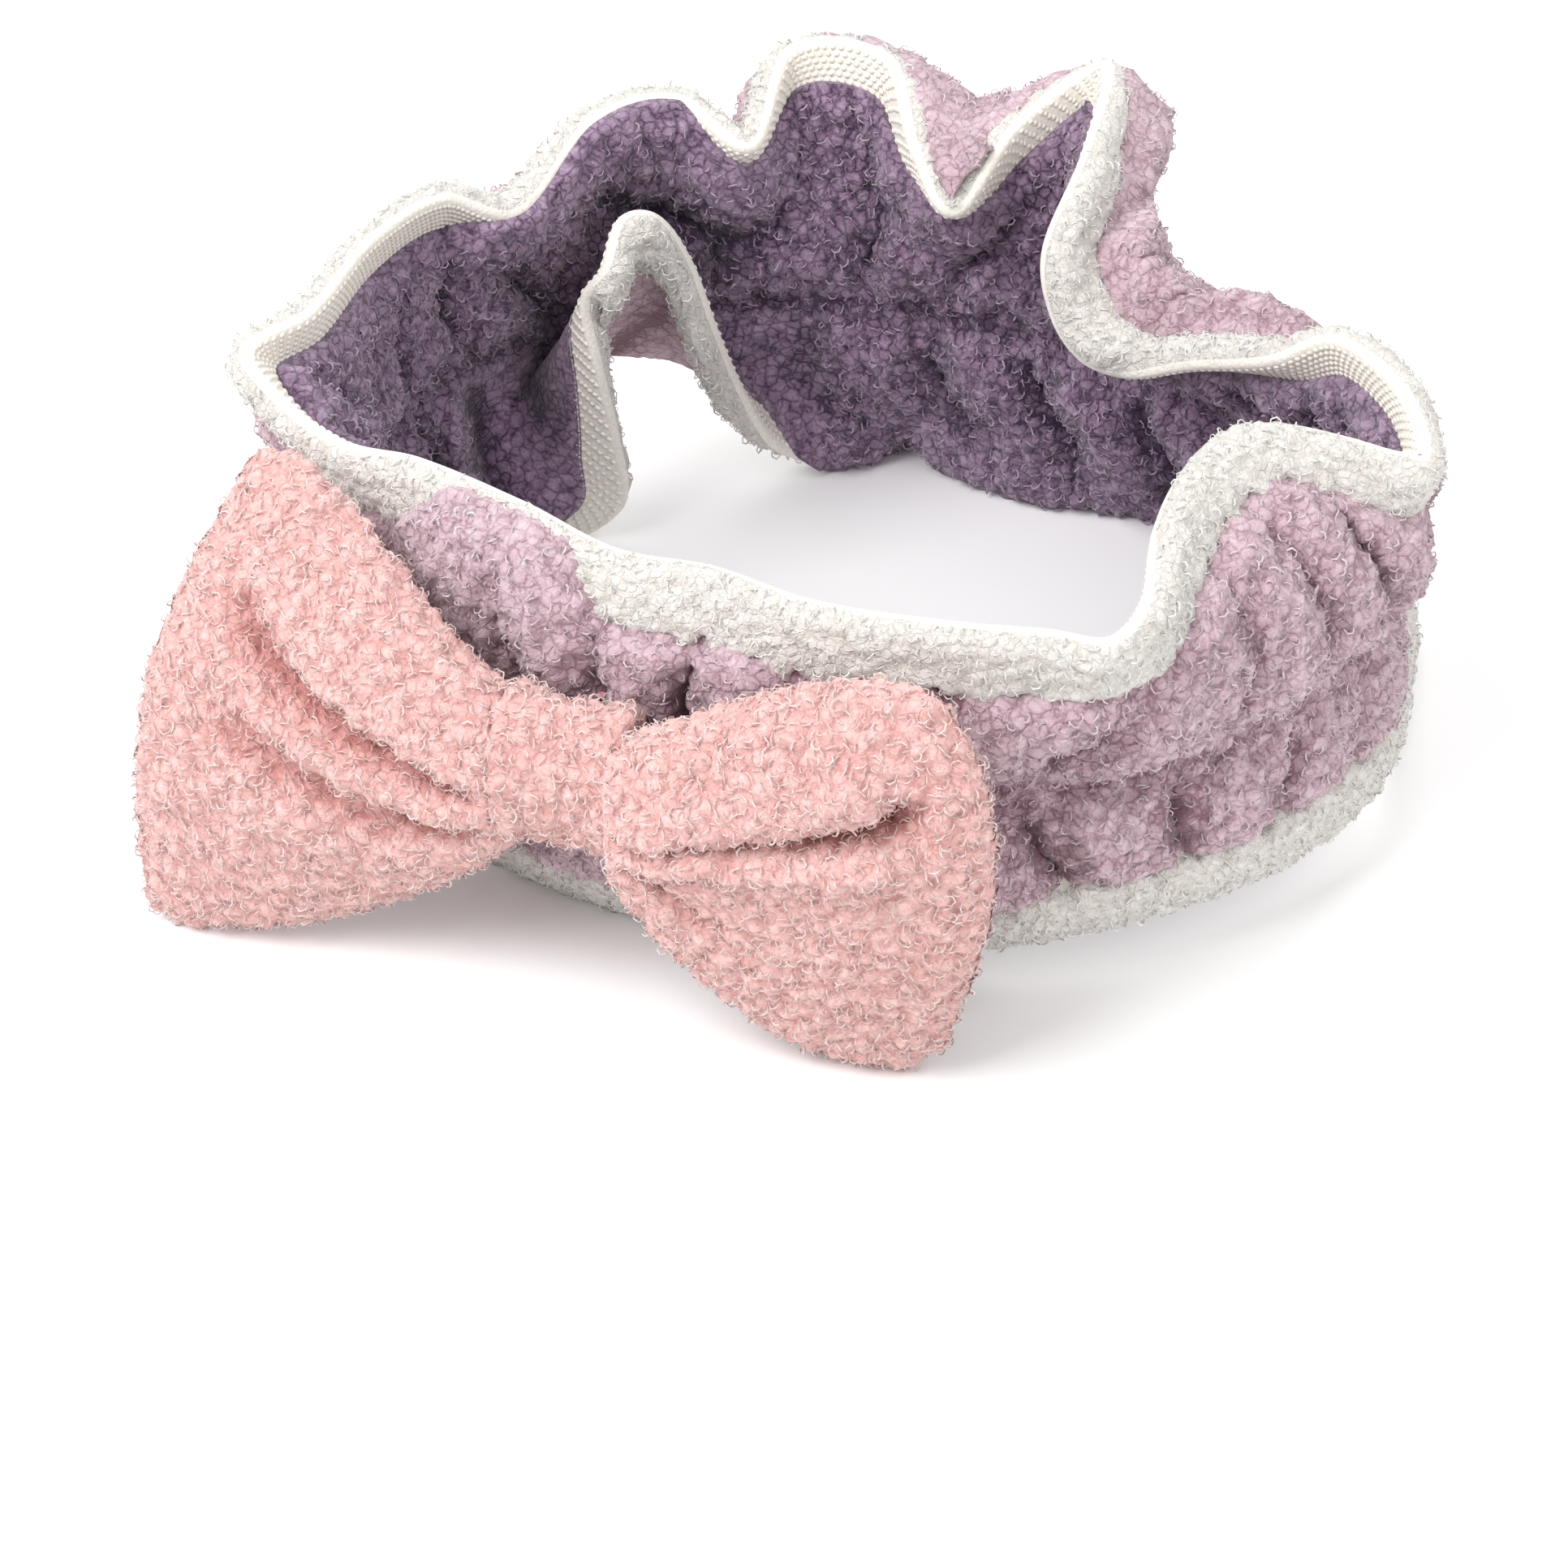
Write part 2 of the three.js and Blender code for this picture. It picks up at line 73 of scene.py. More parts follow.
class Value:
    """A socket that carries a number, with Python's operators as Math nodes."""

    def __init__(self, tree: "Tree", socket: bpy.types.NodeSocket) -> None:
        """Keep the tree and the socket."""
        self.tree = tree
        self.socket = socket

    def _math(self, operation: str, first: object, second: object) -> "Value":
        """Add one Math node and return its result."""
        node = self.tree.add("ShaderNodeMath", {"operation": operation}, {0: first, 1: second})
        return Value(self.tree, node.outputs[0])

    def __add__(self, other: object) -> "Value":
        """Sum."""
        return self._math("ADD", self, other)

    def __radd__(self, other: object) -> "Value":
        """Sum, reflected."""
        return self._math("ADD", other, self)

    def __sub__(self, other: object) -> "Value":
        """Difference."""
        return self._math("SUBTRACT", self, other)

    def __rsub__(self, other: object) -> "Value":
        """Difference, reflected."""
        return self._math("SUBTRACT", other, self)

    def __mul__(self, other: object) -> "Value":
        """Product."""
        return self._math("MULTIPLY", self, other)

    def __rmul__(self, other: object) -> "Value":
        """Product, reflected."""
        return self._math("MULTIPLY", other, self)

    def __truediv__(self, other: object) -> "Value":
        """Quotient."""
        return self._math("DIVIDE", self, other)

    def __rtruediv__(self, other: object) -> "Value":
        """Quotient, reflected."""
        return self._math("DIVIDE", other, self)

    def __pow__(self, other: object) -> "Value":
        """Power."""
        return self._math("POWER", self, other)

    def at_least(self, low: float) -> "Value":
        """The value, or the low limit where the value is under it."""
        return self._math("MAXIMUM", self, low)

    def at_most(self, high: float) -> "Value":
        """The value, or the high limit where the value is over it."""
        return self._math("MINIMUM", self, high)

    def clamped(self) -> "Value":
        """The value, kept between 0 and 1."""
        return self.at_least(0.0).at_most(1.0)


class Tree:
    """A node tree with one method that adds any node."""

    def __init__(self, nodes: bpy.types.NodeTree) -> None:
        """Keep the Blender tree."""
        self.nodes = nodes

    def add(self, kind: str, settings: dict | None = None,
            inputs: dict | None = None) -> bpy.types.Node:
        """Add a node.

        Args:
            kind: Blender's name of the node type.
            settings: the node's own properties, set first.
            inputs: by socket name or number, a value, a socket or a Value to link.

        Returns:
            The node.
        """
        node = self.nodes.nodes.new(kind)
        for name, setting in (settings or {}).items():
            setattr(node, name, setting)
        for key, source in (inputs or {}).items():
            self.feed(node.inputs[key], source)
        return node

    def feed(self, socket: bpy.types.NodeSocket, source: object) -> None:
        """Link a source to a socket, or set the socket if the source is a plain value.

        Args:
            socket: the input socket.
            source: a Value, a socket or a plain value.
        """
        if isinstance(source, Value):
            source = source.socket
        if isinstance(source, bpy.types.NodeSocket):
            self.nodes.links.new(source, socket)
        else:
            socket.default_value = source

    def value(self, kind: str, output: object, settings: dict | None = None,
              inputs: dict | None = None) -> Value:
        """Add a node and return one of its outputs as a Value."""
        return Value(self, self.add(kind, settings, inputs).outputs[output])

    def stored(self, name: str, kind: str = "FLOAT") -> Value:
        """A named attribute of the geometry that a tree works on."""
        return self.value("GeometryNodeInputNamedAttribute", 0, {"data_type": kind},
                          {"Name": name})

    def wandered(self, place: bpy.types.NodeSocket, scale: object, detail: float,
                 reach: object) -> bpy.types.NodeSocket:
        """Shift a place by noise, so that a pattern of cells loses its straight edges.

        Args:
            place: the place to shift.
            scale: the noise's scale.
            detail: the noise's detail.
            reach: how far the noise shifts the place.

        Returns:
            The socket of the shifted place.
        """
        noise = self.add("ShaderNodeTexNoise", None, {
            "Vector": place, "Scale": scale, "Detail": detail})
        shift = self.add("ShaderNodeVectorMath", {"operation": "SCALE"}, {
            0: noise.outputs["Color"], "Scale": reach})
        return self.add("ShaderNodeVectorMath", {"operation": "ADD"}, {
            0: place, 1: shift.outputs[0]}).outputs[0]

    def attribute(self, name: str) -> Value:
        """A float attribute of the shaded piece."""
        return self.value("ShaderNodeAttribute", "Fac", {"attribute_name": name})

    def mix(self, factor: object, first: object, second: object,
            blend: str = "MIX") -> bpy.types.NodeSocket:
        """Mix two colours.

        Args:
            factor: the second colour's share.
            first: the first colour.
            second: the second colour.
            blend: how the colours are mixed.

        Returns:
            The result's socket.
        """
        node = self.add("ShaderNodeMix", {"data_type": "RGBA", "blend_type": blend})
        self.feed(node.inputs[0], factor)
        self.feed(node.inputs[6], first)
        self.feed(node.inputs[7], second)
        return node.outputs[2]


def rgb(code: str) -> tuple[float, float, float, float]:
    """Turn a hexadecimal sRGB code such as "cdb3c2" into a linear colour.

    Args:
        code: six hexadecimal digits.

    Returns:
        Red, green, blue and alpha.
    """
    parts = [int(code[i:i + 2], 16) / 255 for i in (0, 2, 4)]
    linear = [p / 12.92 if p <= 0.04045 else ((p + 0.055) / 1.055) ** 2.4 for p in parts]
    return (*linear, 1.0)


def start_finish(
        name: str) -> tuple[bpy.types.Material, Tree, bpy.types.Node, bpy.types.NodeSocket]:
    """Start a material.

    Args:
        name: the finish's name.

    Returns:
        The material, its tree, its shader and the place on the piece.
    """
    made = bpy.data.materials.new(name)
    made.use_nodes = True
    tree = Tree(made.node_tree)
    shader = made.node_tree.nodes["Principled BSDF"]
    return made, tree, shader, tree.add("ShaderNodeTexCoord").outputs["Object"]


# ---------- Finishes ----------

class Fibre(Enum):
    """Kinds of fibre, by how rough they are."""

    PILE = 0.95
    KNIT = 0.82
    THREAD = 0.55


@dataclass(frozen=True)
class Fleece:
    """Curled pile, with painted shade between its nubs and a painted highlight on their tops."""

    name: str
    # deep is painted shade for the gaps and creases, body is the fleece's own colour, tip is a
    # painted highlight for the nub tops.
    deep: str
    body: str
    tip: str
    curl_mm: float = 1.1
    sheen: float = 0.35
    # crack sets how much the gaps between nubs are darkened, as painted shade.
    crack: float = 0.22

    def material(self) -> bpy.types.Material:
        """Build the procedural material.

        Returns:
            The material.
        """
        made, tree, shader, place = start_finish(self.name)
        nub = tree.attribute("nub")
        # The crease attribute darkens the colour as painted shade in folds.
        crease = tree.attribute("crease")
        curl = tree.value("ShaderNodeTexNoise", 0, None, {
            "Vector": place, "Scale": 0.9 / (self.curl_mm * MM), "Detail": 3.0,
            "Roughness": 0.65, "Distortion": 1.8})
        moved = tree.wandered(place, 0.55 / (self.curl_mm * MM), 2.0, 1.9 * self.curl_mm * MM)
        edge = tree.value("ShaderNodeTexVoronoi", "Distance", {"feature": "DISTANCE_TO_EDGE"}, {
            "Vector": moved, "Scale": 0.5 / (self.curl_mm * MM)})
        # Darkening along the cell edges: painted shade in the gaps between nubs.
        crack = (1.0 - edge * 6.0).at_least(0.0)
        patch = tree.value("ShaderNodeTexNoise", 0, None, {
            "Vector": place, "Scale": 0.05 / MM, "Detail": 2.0})
        # The height picks the colour: painted shade low between nubs, in the gaps and in creases,
        # the body colour midway, and a painted highlight on the nub tops. The fine curl noise adds
        # tone that varies at random.
        height = (nub * 0.35 + (curl - 0.5) * 1.0 - crack * self.crack - crease * 0.8
                  + 0.48).clamped()
        low = tree.mix((height * 2.0).at_most(1.0), rgb(self.deep), rgb(self.body))
        high = tree.mix((height * 2.0 - 1.0).clamped(), low, rgb(self.tip))
        shade = tree.mix((patch * 1.6 - 0.5).clamped() * 0.25, high, rgb(self.body))
        strands = tree.value("ShaderNodeTexNoise", 0, None, {
            "Vector": place, "Scale": 2.2 / (self.curl_mm * MM), "Detail": 2.0,
            "Distortion": 3.0})
        bump = tree.add("ShaderNodeBump", None, {
            "Height": curl * 0.6 + strands * 0.4 - crack * 0.4, "Strength": 1.0,
            "Distance": 0.6 * MM})
        tree.feed(shader.inputs["Base Color"], shade)
        tree.feed(shader.inputs["Roughness"], strands * 0.1 + Fibre.PILE.value - 0.08)
        tree.feed(shader.inputs["Normal"], bump.outputs["Normal"])
        shader.inputs["Specular IOR Level"].default_value = 0.15
        shader.inputs["Sheen Weight"].default_value = self.sheen
        shader.inputs["Sheen Roughness"].default_value = 0.45
        return made


@dataclass(frozen=True)
class Knit:
    """Flat knitted or woven ground with a fine grain."""

    name: str
    colour: str
    shadow: str
    pitch_mm: float = 0.6

    def material(self) -> bpy.types.Material:
        """Build the procedural material.

        Returns:
            The material.
        """
        made, tree, shader, place = start_finish(self.name)
        grain = tree.value("ShaderNodeTexVoronoi", "Distance", {"feature": "SMOOTH_F1"}, {
            "Vector": place, "Scale": 1 / (self.pitch_mm * MM), "Smoothness": 0.4})
        hairs = tree.value("ShaderNodeTexNoise", 0, None, {
            "Vector": place, "Scale": 1.2 / MM, "Detail": 3.0, "Distortion": 1.0})
        colour = tree.mix((grain * 1.1 + (hairs - 0.5) * 0.5).clamped(),
                          rgb(self.colour), rgb(self.shadow))
        bump = tree.add("ShaderNodeBump", None, {
            "Height": hairs * 0.5 - grain, "Strength": 0.5, "Distance": 0.2 * MM})
        tree.feed(shader.inputs["Base Color"], colour)
        tree.feed(shader.inputs["Roughness"], hairs * 0.15 + Fibre.KNIT.value - 0.08)
        tree.feed(shader.inputs["Normal"], bump.outputs["Normal"])
        shader.inputs["Specular IOR Level"].default_value = 0.2
        shader.inputs["Sheen Weight"].default_value = 0.2
        return made


@dataclass(frozen=True)
class Thread:
    """Sewing thread, twisted along its length."""

    name: str
    colour: str
    shadow: str
    twist_mm: float = 0.35

    def material(self) -> bpy.types.Material:
        """Build the procedural material.

        Returns:
            The material.
        """
        made, tree, shader, place = start_finish(self.name)
        ply = tree.value("ShaderNodeTexWave", 1, {"bands_direction": "DIAGONAL"}, {
            "Vector": place, "Scale": 0.16 / (self.twist_mm * MM), "Distortion": 1.0})
        tree.feed(shader.inputs["Base Color"], tree.mix(ply, rgb(self.shadow), rgb(self.colour)))
        bump = tree.add("ShaderNodeBump", None, {
            "Height": ply, "Strength": 0.4, "Distance": 0.1 * MM})
        tree.feed(shader.inputs["Roughness"], ply * 0.15 + Fibre.THREAD.value)
        tree.feed(shader.inputs["Normal"], bump.outputs["Normal"])
        return made


class Finishes:
    """Every finish of the headband, made once."""

    def __init__(self) -> None:
        """Build the materials."""
        # Each fleece is given its painted shade, its own colour and its painted highlight, in that
        # order.
        self.mauve = Fleece("mauve_fleece", "87636f", "cfb1bc", "e8d3da", crack=0.3).material()
        self.purple = Fleece("purple_fleece", "33203a", "937893", "c6afc6", crack=0.4).material()
        self.pink = Fleece("pink_fleece", "d08d88", "edbbb6", "f7d3ce").material()
        self.cream_pile = Fleece("cream_pile", "ddd6cc", "f0ebe4", "f8f5f0", 0.8).material()
        # The yarn finishes are lighter copies of the fleece colours: painted light on the thin
        # curls, against the shadows they cast on each other.
        self.mauve_yarn = Fleece("mauve_yarn", "cfb1bc", "e2cbd3", "f3e4e9").material()
        self.purple_yarn = Fleece("purple_yarn", "957a95", "b39bb3", "d3bfd3").material()
        self.pink_yarn = Fleece("pink_yarn", "edbbb6", "f7d3ce", "fdeae7").material()
        self.cream_yarn = Fleece("cream_yarn", "f0ebe4", "f8f5f0", "ffffff").material()
        self.cream_knit = Knit("cream_knit", "f4f0e9", "e3ddd2").material()
        self.elastic = Knit("woven_elastic", "f3f1ed", "c9c6c0", 0.9).material()
        self.cream_thread = Thread("cream_thread", "efe8de", "c9c0b3").material()
        self.pink_thread = Thread("pink_thread", "e9b0ad", "c98886").material()
        self.mauve_thread = Thread("mauve_thread", "b49bb0", "86708a").material()


# ---------- Meshes ----------

def linked(name: str, data: bpy.types.ID) -> bpy.types.Object:
    """Make an object of some data and put it in the scene.

    Args:
        name: the object's name.
        data: its mesh, camera or light.

    Returns:
        The object.
    """
    made = bpy.data.objects.new(name, data)
    bpy.context.scene.collection.objects.link(made)
    return made


@contextmanager
def reshaped(piece: bpy.types.Object) -> Iterator[bmesh.types.BMesh]:
    """Open a piece's mesh for editing, and write it back afterwards.

    Args:
        piece: the piece to edit.

    Yields:
        The open mesh.
    """
    work = bmesh.new()
    work.from_mesh(piece.data)
    yield work
    work.to_mesh(piece.data)
    work.free()


def mesh_object(name: str, points: np.ndarray, faces: np.ndarray,
                attributes: dict[str, np.ndarray] | None = None) -> bpy.types.Object:
    """Make a smooth mesh object at the origin.

    Args:
        name: the piece's name.
        points: (n, 3) places in millimetres.
        faces: (m, 4) or (m, 3) corner numbers.
        attributes: float values for each point, by name.

    Returns:
        The linked object.
    """
    mesh = bpy.data.meshes.new(name)
    mesh.from_pydata((points * MM).tolist(), [], faces.tolist())
    for key, values in (attributes or {}).items():
        mesh.attributes.new(key, "FLOAT", "POINT").data.foreach_set(
            "value", np.ascontiguousarray(values, dtype=np.float32).ravel())
    mesh.polygons.foreach_set("use_smooth", np.ones(len(faces), dtype=bool))
    mesh.update()
    return linked(name, mesh)


def grid_faces(rings: int, size: int, looped: bool) -> np.ndarray:
    """Quads between closed rings of points.

    Args:
        rings: how many rings there are.
        size: how many points each ring has.
        looped: whether the last ring is joined to the first.

    Returns:
        Four corner numbers for each quad.
    """
    ring = np.arange(rings if looped else rings - 1)[:, None]
    corner = np.arange(size)[None, :]
    after = (ring + 1) % rings
    beside = (corner + 1) % size
    return np.stack([ring * size + corner, ring * size + beside,
                     after * size + beside, after * size + corner], -1).reshape(-1, 4)


def tube(name: str, rings: np.ndarray, looped: bool = True,
         attributes: dict[str, np.ndarray] | None = None) -> bpy.types.Object:
    """Make a piece of closed rings of points that doesn't sink under the floor.

    Args:
        name: the piece's name.
        rings: (rings, points, 3) places in millimetres.
        looped: whether the last ring is joined to the first.
        attributes: float values for each point, by name.

    Returns:
        The piece.
    """
    rings[..., 2] = np.maximum(rings[..., 2], 0.0)
    return mesh_object(name, rings.reshape(-1, 3),
                       grid_faces(len(rings), rings.shape[1], looped), attributes)


def tidy_closed(target: bpy.types.Object) -> bpy.types.Object:
    """Merge doubled points and turn the faces outwards.

    Args:
        target: the piece to tidy.

    Returns:
        The piece.
    """
    with reshaped(target) as work:
        bmesh.ops.remove_doubles(work, verts=work.verts, dist=MERGE_MM * MM)
        bmesh.ops.recalc_face_normals(work, faces=work.faces)
    return target


def smoothstep(low: float, high: float, value: np.ndarray) -> np.ndarray:
    """Smooth rise from 0 to 1 between two limits."""
    share = np.clip((value - low) / (high - low), 0.0, 1.0)
    return share * share * (3 - 2 * share)


@dataclass(frozen=True)
class Pile:
    """How fleece stands on a piece: its nubs, lumps and curls. Sizes are in millimetres."""

    nub: float
    nub_height: float
    lump_height: float
    curl_spacing: float
    curl_radius: float
    yarn_radius: float


PANEL_PILE = Pile(2.7, 1.6, 1.0, 2.3, 0.75, 0.15)
TAPE_PILE = Pile(2.2, 0.9, 0.6, 1.45, 0.75, 0.14)
WING_PILE = Pile(2.6, 1.2, 0.9, 1.15, 0.8, 0.14)
WRAP_PILE = replace(WING_PILE, lump_height=0.8)


class Garden:
    """Geometry Nodes trees for what covers or follows a surface."""

    lump_size = 18.0
    curl_crowding = 0.9

    def __init__(self) -> None:
        """Build the trees."""
        self.nubs = self._nub_tree()
        self.curls = self._curl_tree()
        self.beads = self._bead_tree()
        self.stitches = self._stitch_tree()

    def _start(self, name: str,
               sizes: dict[str, float | int]) -> tuple[Tree, bpy.types.Node]:
        """Start a tree with a geometry input, named size inputs and a geometry output.

        Args:
            name: the tree's name.
            sizes: each size input's name and its first value.

        Returns:
            The tree and its input node.
        """
        group = bpy.data.node_groups.new(name, "GeometryNodeTree")
        face = group.interface
        face.new_socket(name="Geometry", in_out="INPUT", socket_type="NodeSocketGeometry")
        for size, value in sizes.items():
            kind = "NodeSocketInt" if isinstance(value, int) else "NodeSocketFloat"
            socket = face.new_socket(name=size, in_out="INPUT", socket_type=kind)
            socket.default_value = value
        face.new_socket(name="Finish", in_out="INPUT", socket_type="NodeSocketMaterial")
        face.new_socket(name="Geometry", in_out="OUTPUT", socket_type="NodeSocketGeometry")
        tree = Tree(group)
        return tree, tree.add("NodeGroupInput")

    def _end(self, tree: Tree, geometry: bpy.types.NodeSocket, start: bpy.types.Node) -> None:
        """Realize, give the finish, and hand out the result.

        Args:
            tree: the tree to end.
            geometry: what the tree made.
            start: the tree's input node.
        """
        real = tree.add("GeometryNodeRealizeInstances", None, {"Geometry": geometry})
        smooth = tree.add("GeometryNodeSetShadeSmooth", None, {"Geometry": real.outputs[0]})
        dressed = tree.add("GeometryNodeSetMaterial", None, {
            "Geometry": smooth.outputs[0], "Material": start.outputs["Finish"]})
        tree.add("NodeGroupOutput", None, {0: dressed.outputs[0]})

    def _nub_tree(self) -> bpy.types.NodeTree:
        """Raises round nubs and soft lumps out of a fleece face.

        Returns:
            The Blender tree.
        """
        tree, start = self._start("fleece_nubs", {
            "Nub Size": 0.003, "Nub Height": 0.0015, "Lump Size": 0.02, "Lump Height": 0.001})
        place = tree.add("GeometryNodeInputPosition").outputs[0]
        normal = tree.add("GeometryNodeInputNormal").outputs[0]
        pile = tree.stored("pile")
        size = Value(tree, start.outputs["Nub Size"])
        moved = tree.wandered(place, 0.45 / size, 1.0, size * 0.55)
        cell = tree.value("ShaderNodeTexVoronoi", "Distance", {"feature": "SMOOTH_F1"}, {
            "Vector": moved, "Scale": 1.0 / size, "Smoothness": 0.22})
        round_top = (1.0 - (cell / 0.66) ** 2.0).at_least(0.0)
        lump = tree.value("ShaderNodeTexNoise", 0, None, {
            "Vector": place, "Scale": 1.0 / Value(tree, start.outputs["Lump Size"]),
            "Detail": 1.0})
        lift = (round_top * Value(tree, start.outputs["Nub Height"])
                + (lump - 0.5) * 2.0 * Value(tree, start.outputs["Lump Height"])) * pile
        out = tree.add("ShaderNodeVectorMath", {"operation": "SCALE"}, {0: normal, "Scale": lift})
        raised = tree.add("GeometryNodeSetPosition", None, {
            "Geometry": start.outputs["Geometry"], "Offset": out.outputs[0]})
        # The round tops are kept as the nub attribute. The fleece finishes turn it into painted
        # shade low between nubs and a painted highlight on top.
        stored = tree.add("GeometryNodeStoreNamedAttribute", {"data_type": "FLOAT"}, {
            "Geometry": raised.outputs[0], "Name": "nub", "Value": round_top})
        self._end(tree, stored.outputs[0], start)
        return tree.nodes

    def _curl_tree(self) -> bpy.types.NodeTree:
        """Sets small open loops of yarn all over a fleece face.

        Returns:
            The Blender tree.
        """
        tree, start = self._start("fleece_curls", {
            "Spacing": 0.0018, "Density": 170000.0, "Loop Radius": 0.0009,
            "Yarn Radius": 0.0002, "Seed": 1})
        pile = tree.stored("pile")
        thick = tree.value("FunctionNodeCompare", 0, {"operation": "GREATER_THAN"}, {
            0: pile, 1: 0.6})
        spots = tree.add("GeometryNodeDistributePointsOnFaces", {"distribute_method": "POISSON"}, {
            "Mesh": start.outputs["Geometry"], "Selection": thick,
            "Distance Min": start.outputs["Spacing"],
            "Density Max": start.outputs["Density"], "Seed": start.outputs["Seed"]})
        arc = tree.add("GeometryNodeCurveArc", {"mode": "RADIUS"}, {
            "Resolution": 5, "Radius": start.outputs["Loop Radius"],
            "Start Angle": -0.6, "Sweep Angle": 4.4})
        ring = tree.add("GeometryNodeCurvePrimitiveCircle", {"mode": "RADIUS"}, {
            "Resolution": 3, "Radius": start.outputs["Yarn Radius"]})
        loop = tree.add("GeometryNodeCurveToMesh", None, {
            0: arc.outputs[0], 1: ring.outputs[0], "Fill Caps": True})
        spin = tree.add("FunctionNodeRandomValue", {"data_type": "FLOAT_VECTOR"}, {
            0: (0.7, -0.7, 0.0), 1: (2.4, 0.7, 6.283), "Seed": 5})
        turn = tree.add("FunctionNodeEulerToRotation", None, {0: spin.outputs[0]})
        facing = tree.add("FunctionNodeRotateRotation", {"rotation_space": "LOCAL"}, {
            0: spots.outputs["Rotation"], 1: turn.outputs[0]})
        grow = tree.add("FunctionNodeRandomValue", {"data_type": "FLOAT"}, {
            2: 0.65, 3: 1.25, "Seed": 8})
        curls = tree.add("GeometryNodeInstanceOnPoints", None, {
            "Points": spots.outputs["Points"], "Instance": loop.outputs[0],
            "Rotation": facing.outputs[0], "Scale": grow.outputs[1]})
        # A random value is stored as each curl's nub. It pushes the curls up the colour ramp
        # towards the painted highlight.
        tone = tree.add("FunctionNodeRandomValue", {"data_type": "FLOAT"}, {
            2: 0.8, 3: 1.6, "Seed": 21})
        toned = tree.add("GeometryNodeStoreNamedAttribute",
                         {"data_type": "FLOAT", "domain": "INSTANCE"}, {
                             "Geometry": curls.outputs[0], "Name": "nub",
                             "Value": tone.outputs[1]})
        self._end(tree, toned.outputs[0], start)
        return tree.nodes

    def _bead_tree(self) -> bpy.types.NodeTree:
        """Sets a small rounded knit loop on every point, facing along its normal.

        Returns:
            The Blender tree.
        """
        tree, start = self._start("knit_loops", {"Loop Width": 0.0006, "Loop Rise": 0.00035})
        facing = tree.add("FunctionNodeAlignRotationToVector", {"axis": "Z"}, {
            "Vector": tree.stored("facing", "FLOAT_VECTOR")})
        ball = tree.add("GeometryNodeMeshIcoSphere", None, {"Radius": 1.0, "Subdivisions": 1})
        width = start.outputs["Loop Width"]
        size = tree.add("ShaderNodeCombineXYZ", None, {
            0: width, 1: width, 2: start.outputs["Loop Rise"]})
        loops = tree.add("GeometryNodeInstanceOnPoints", None, {
            "Points": start.outputs["Geometry"], "Instance": ball.outputs[0],
            "Rotation": facing.outputs[0], "Scale": size.outputs[0]})
        self._end(tree, loops.outputs[0], start)
        return tree.nodes

    def _stitch_tree(self) -> bpy.types.NodeTree:
        """Lays short stitches end to end along a curve, with a gap between them.

        Returns:
            The Blender tree.
        """
        tree, start = self._start("stitches", {
            "Pitch": 0.003, "Length": 0.0022, "Thread Radius": 0.0002})
        line = tree.add("GeometryNodeMeshToCurve", None, {0: start.outputs["Geometry"]})
        spots = tree.add("GeometryNodeCurveToPoints", {"mode": "LENGTH"}, {
            "Curve": line.outputs[0], "Length": start.outputs["Pitch"]})
        half = Value(tree, start.outputs["Length"]) * 0.5
        near = tree.add("ShaderNodeCombineXYZ", None, {0: 0.0, 1: 0.0, 2: half * -1.0})
        far = tree.add("ShaderNodeCombineXYZ", None, {0: 0.0, 1: 0.0, 2: half})
        bow_up = tree.add("ShaderNodeCombineXYZ", None, {
            0: Value(tree, start.outputs["Thread Radius"]) * 1.5, 1: 0.0, 2: 0.0})
        path = tree.add("GeometryNodeCurveQuadraticBezier", None, {
            "Resolution": 5, "Start": near.outputs[0], "Middle": bow_up.outputs[0],
            "End": far.outputs[0]})
        ring = tree.add("GeometryNodeCurvePrimitiveCircle", {"mode": "RADIUS"}, {
            "Resolution": 5, "Radius": start.outputs["Thread Radius"]})
        stitch = tree.add("GeometryNodeCurveToMesh", None, {
            0: path.outputs[0], 1: ring.outputs[0], "Fill Caps": True})
        laid = tree.add("GeometryNodeInstanceOnPoints", None, {
            "Points": spots.outputs["Points"], "Instance": stitch.outputs[0],
            "Rotation": spots.outputs["Rotation"]})
        self._end(tree, laid.outputs[0], start)
        return tree.nodes

    @staticmethod
    def grow(target: bpy.types.Object, nodes: bpy.types.NodeTree, finish: bpy.types.Material,
             sizes: dict[str, float] | None = None) -> bpy.types.Object:
        """Run a tree on a piece and keep its result as a plain mesh.

        Args:
            target: the piece whose mesh is replaced.
            nodes: the tree to run.
            finish: the material of the result.
            sizes: values of the tree's named inputs.

        Returns:
            The piece.
        """
        modifier = target.modifiers.new("grow", "NODES")
        modifier.node_group = nodes
        sockets = {item.name: item.identifier for item in nodes.interface.items_tree
                   if item.item_type == "SOCKET" and item.in_out == "INPUT"}
        modifier[sockets["Finish"]] = finish
        for name, value in (sizes or {}).items():
            modifier[sockets[name]] = value
        depsgraph = bpy.context.evaluated_depsgraph_get()
        result = bpy.data.meshes.new_from_object(
            target.evaluated_get(depsgraph), preserve_all_data_layers=True, depsgraph=depsgraph)
        target.modifiers.clear()
        old = target.data
        target.data = result
        bpy.data.meshes.remove(old)
        result.name = target.name
        if not result.materials:
            result.materials.append(finish)
        return target

    def fleece(self, target: bpy.types.Object, finish: bpy.types.Material, pile: Pile) -> None:
        """Raise nubs on a piece and give it its finish.

        Args:
            target: the piece.
            finish: its material.
            pile: the sizes of its nubs.
        """
        self.grow(target, self.nubs, finish, {
            "Nub Size": pile.nub * MM, "Nub Height": pile.nub_height * MM,
            "Lump Size": self.lump_size * MM, "Lump Height": pile.lump_height * MM})
        rest_on_floor(target)

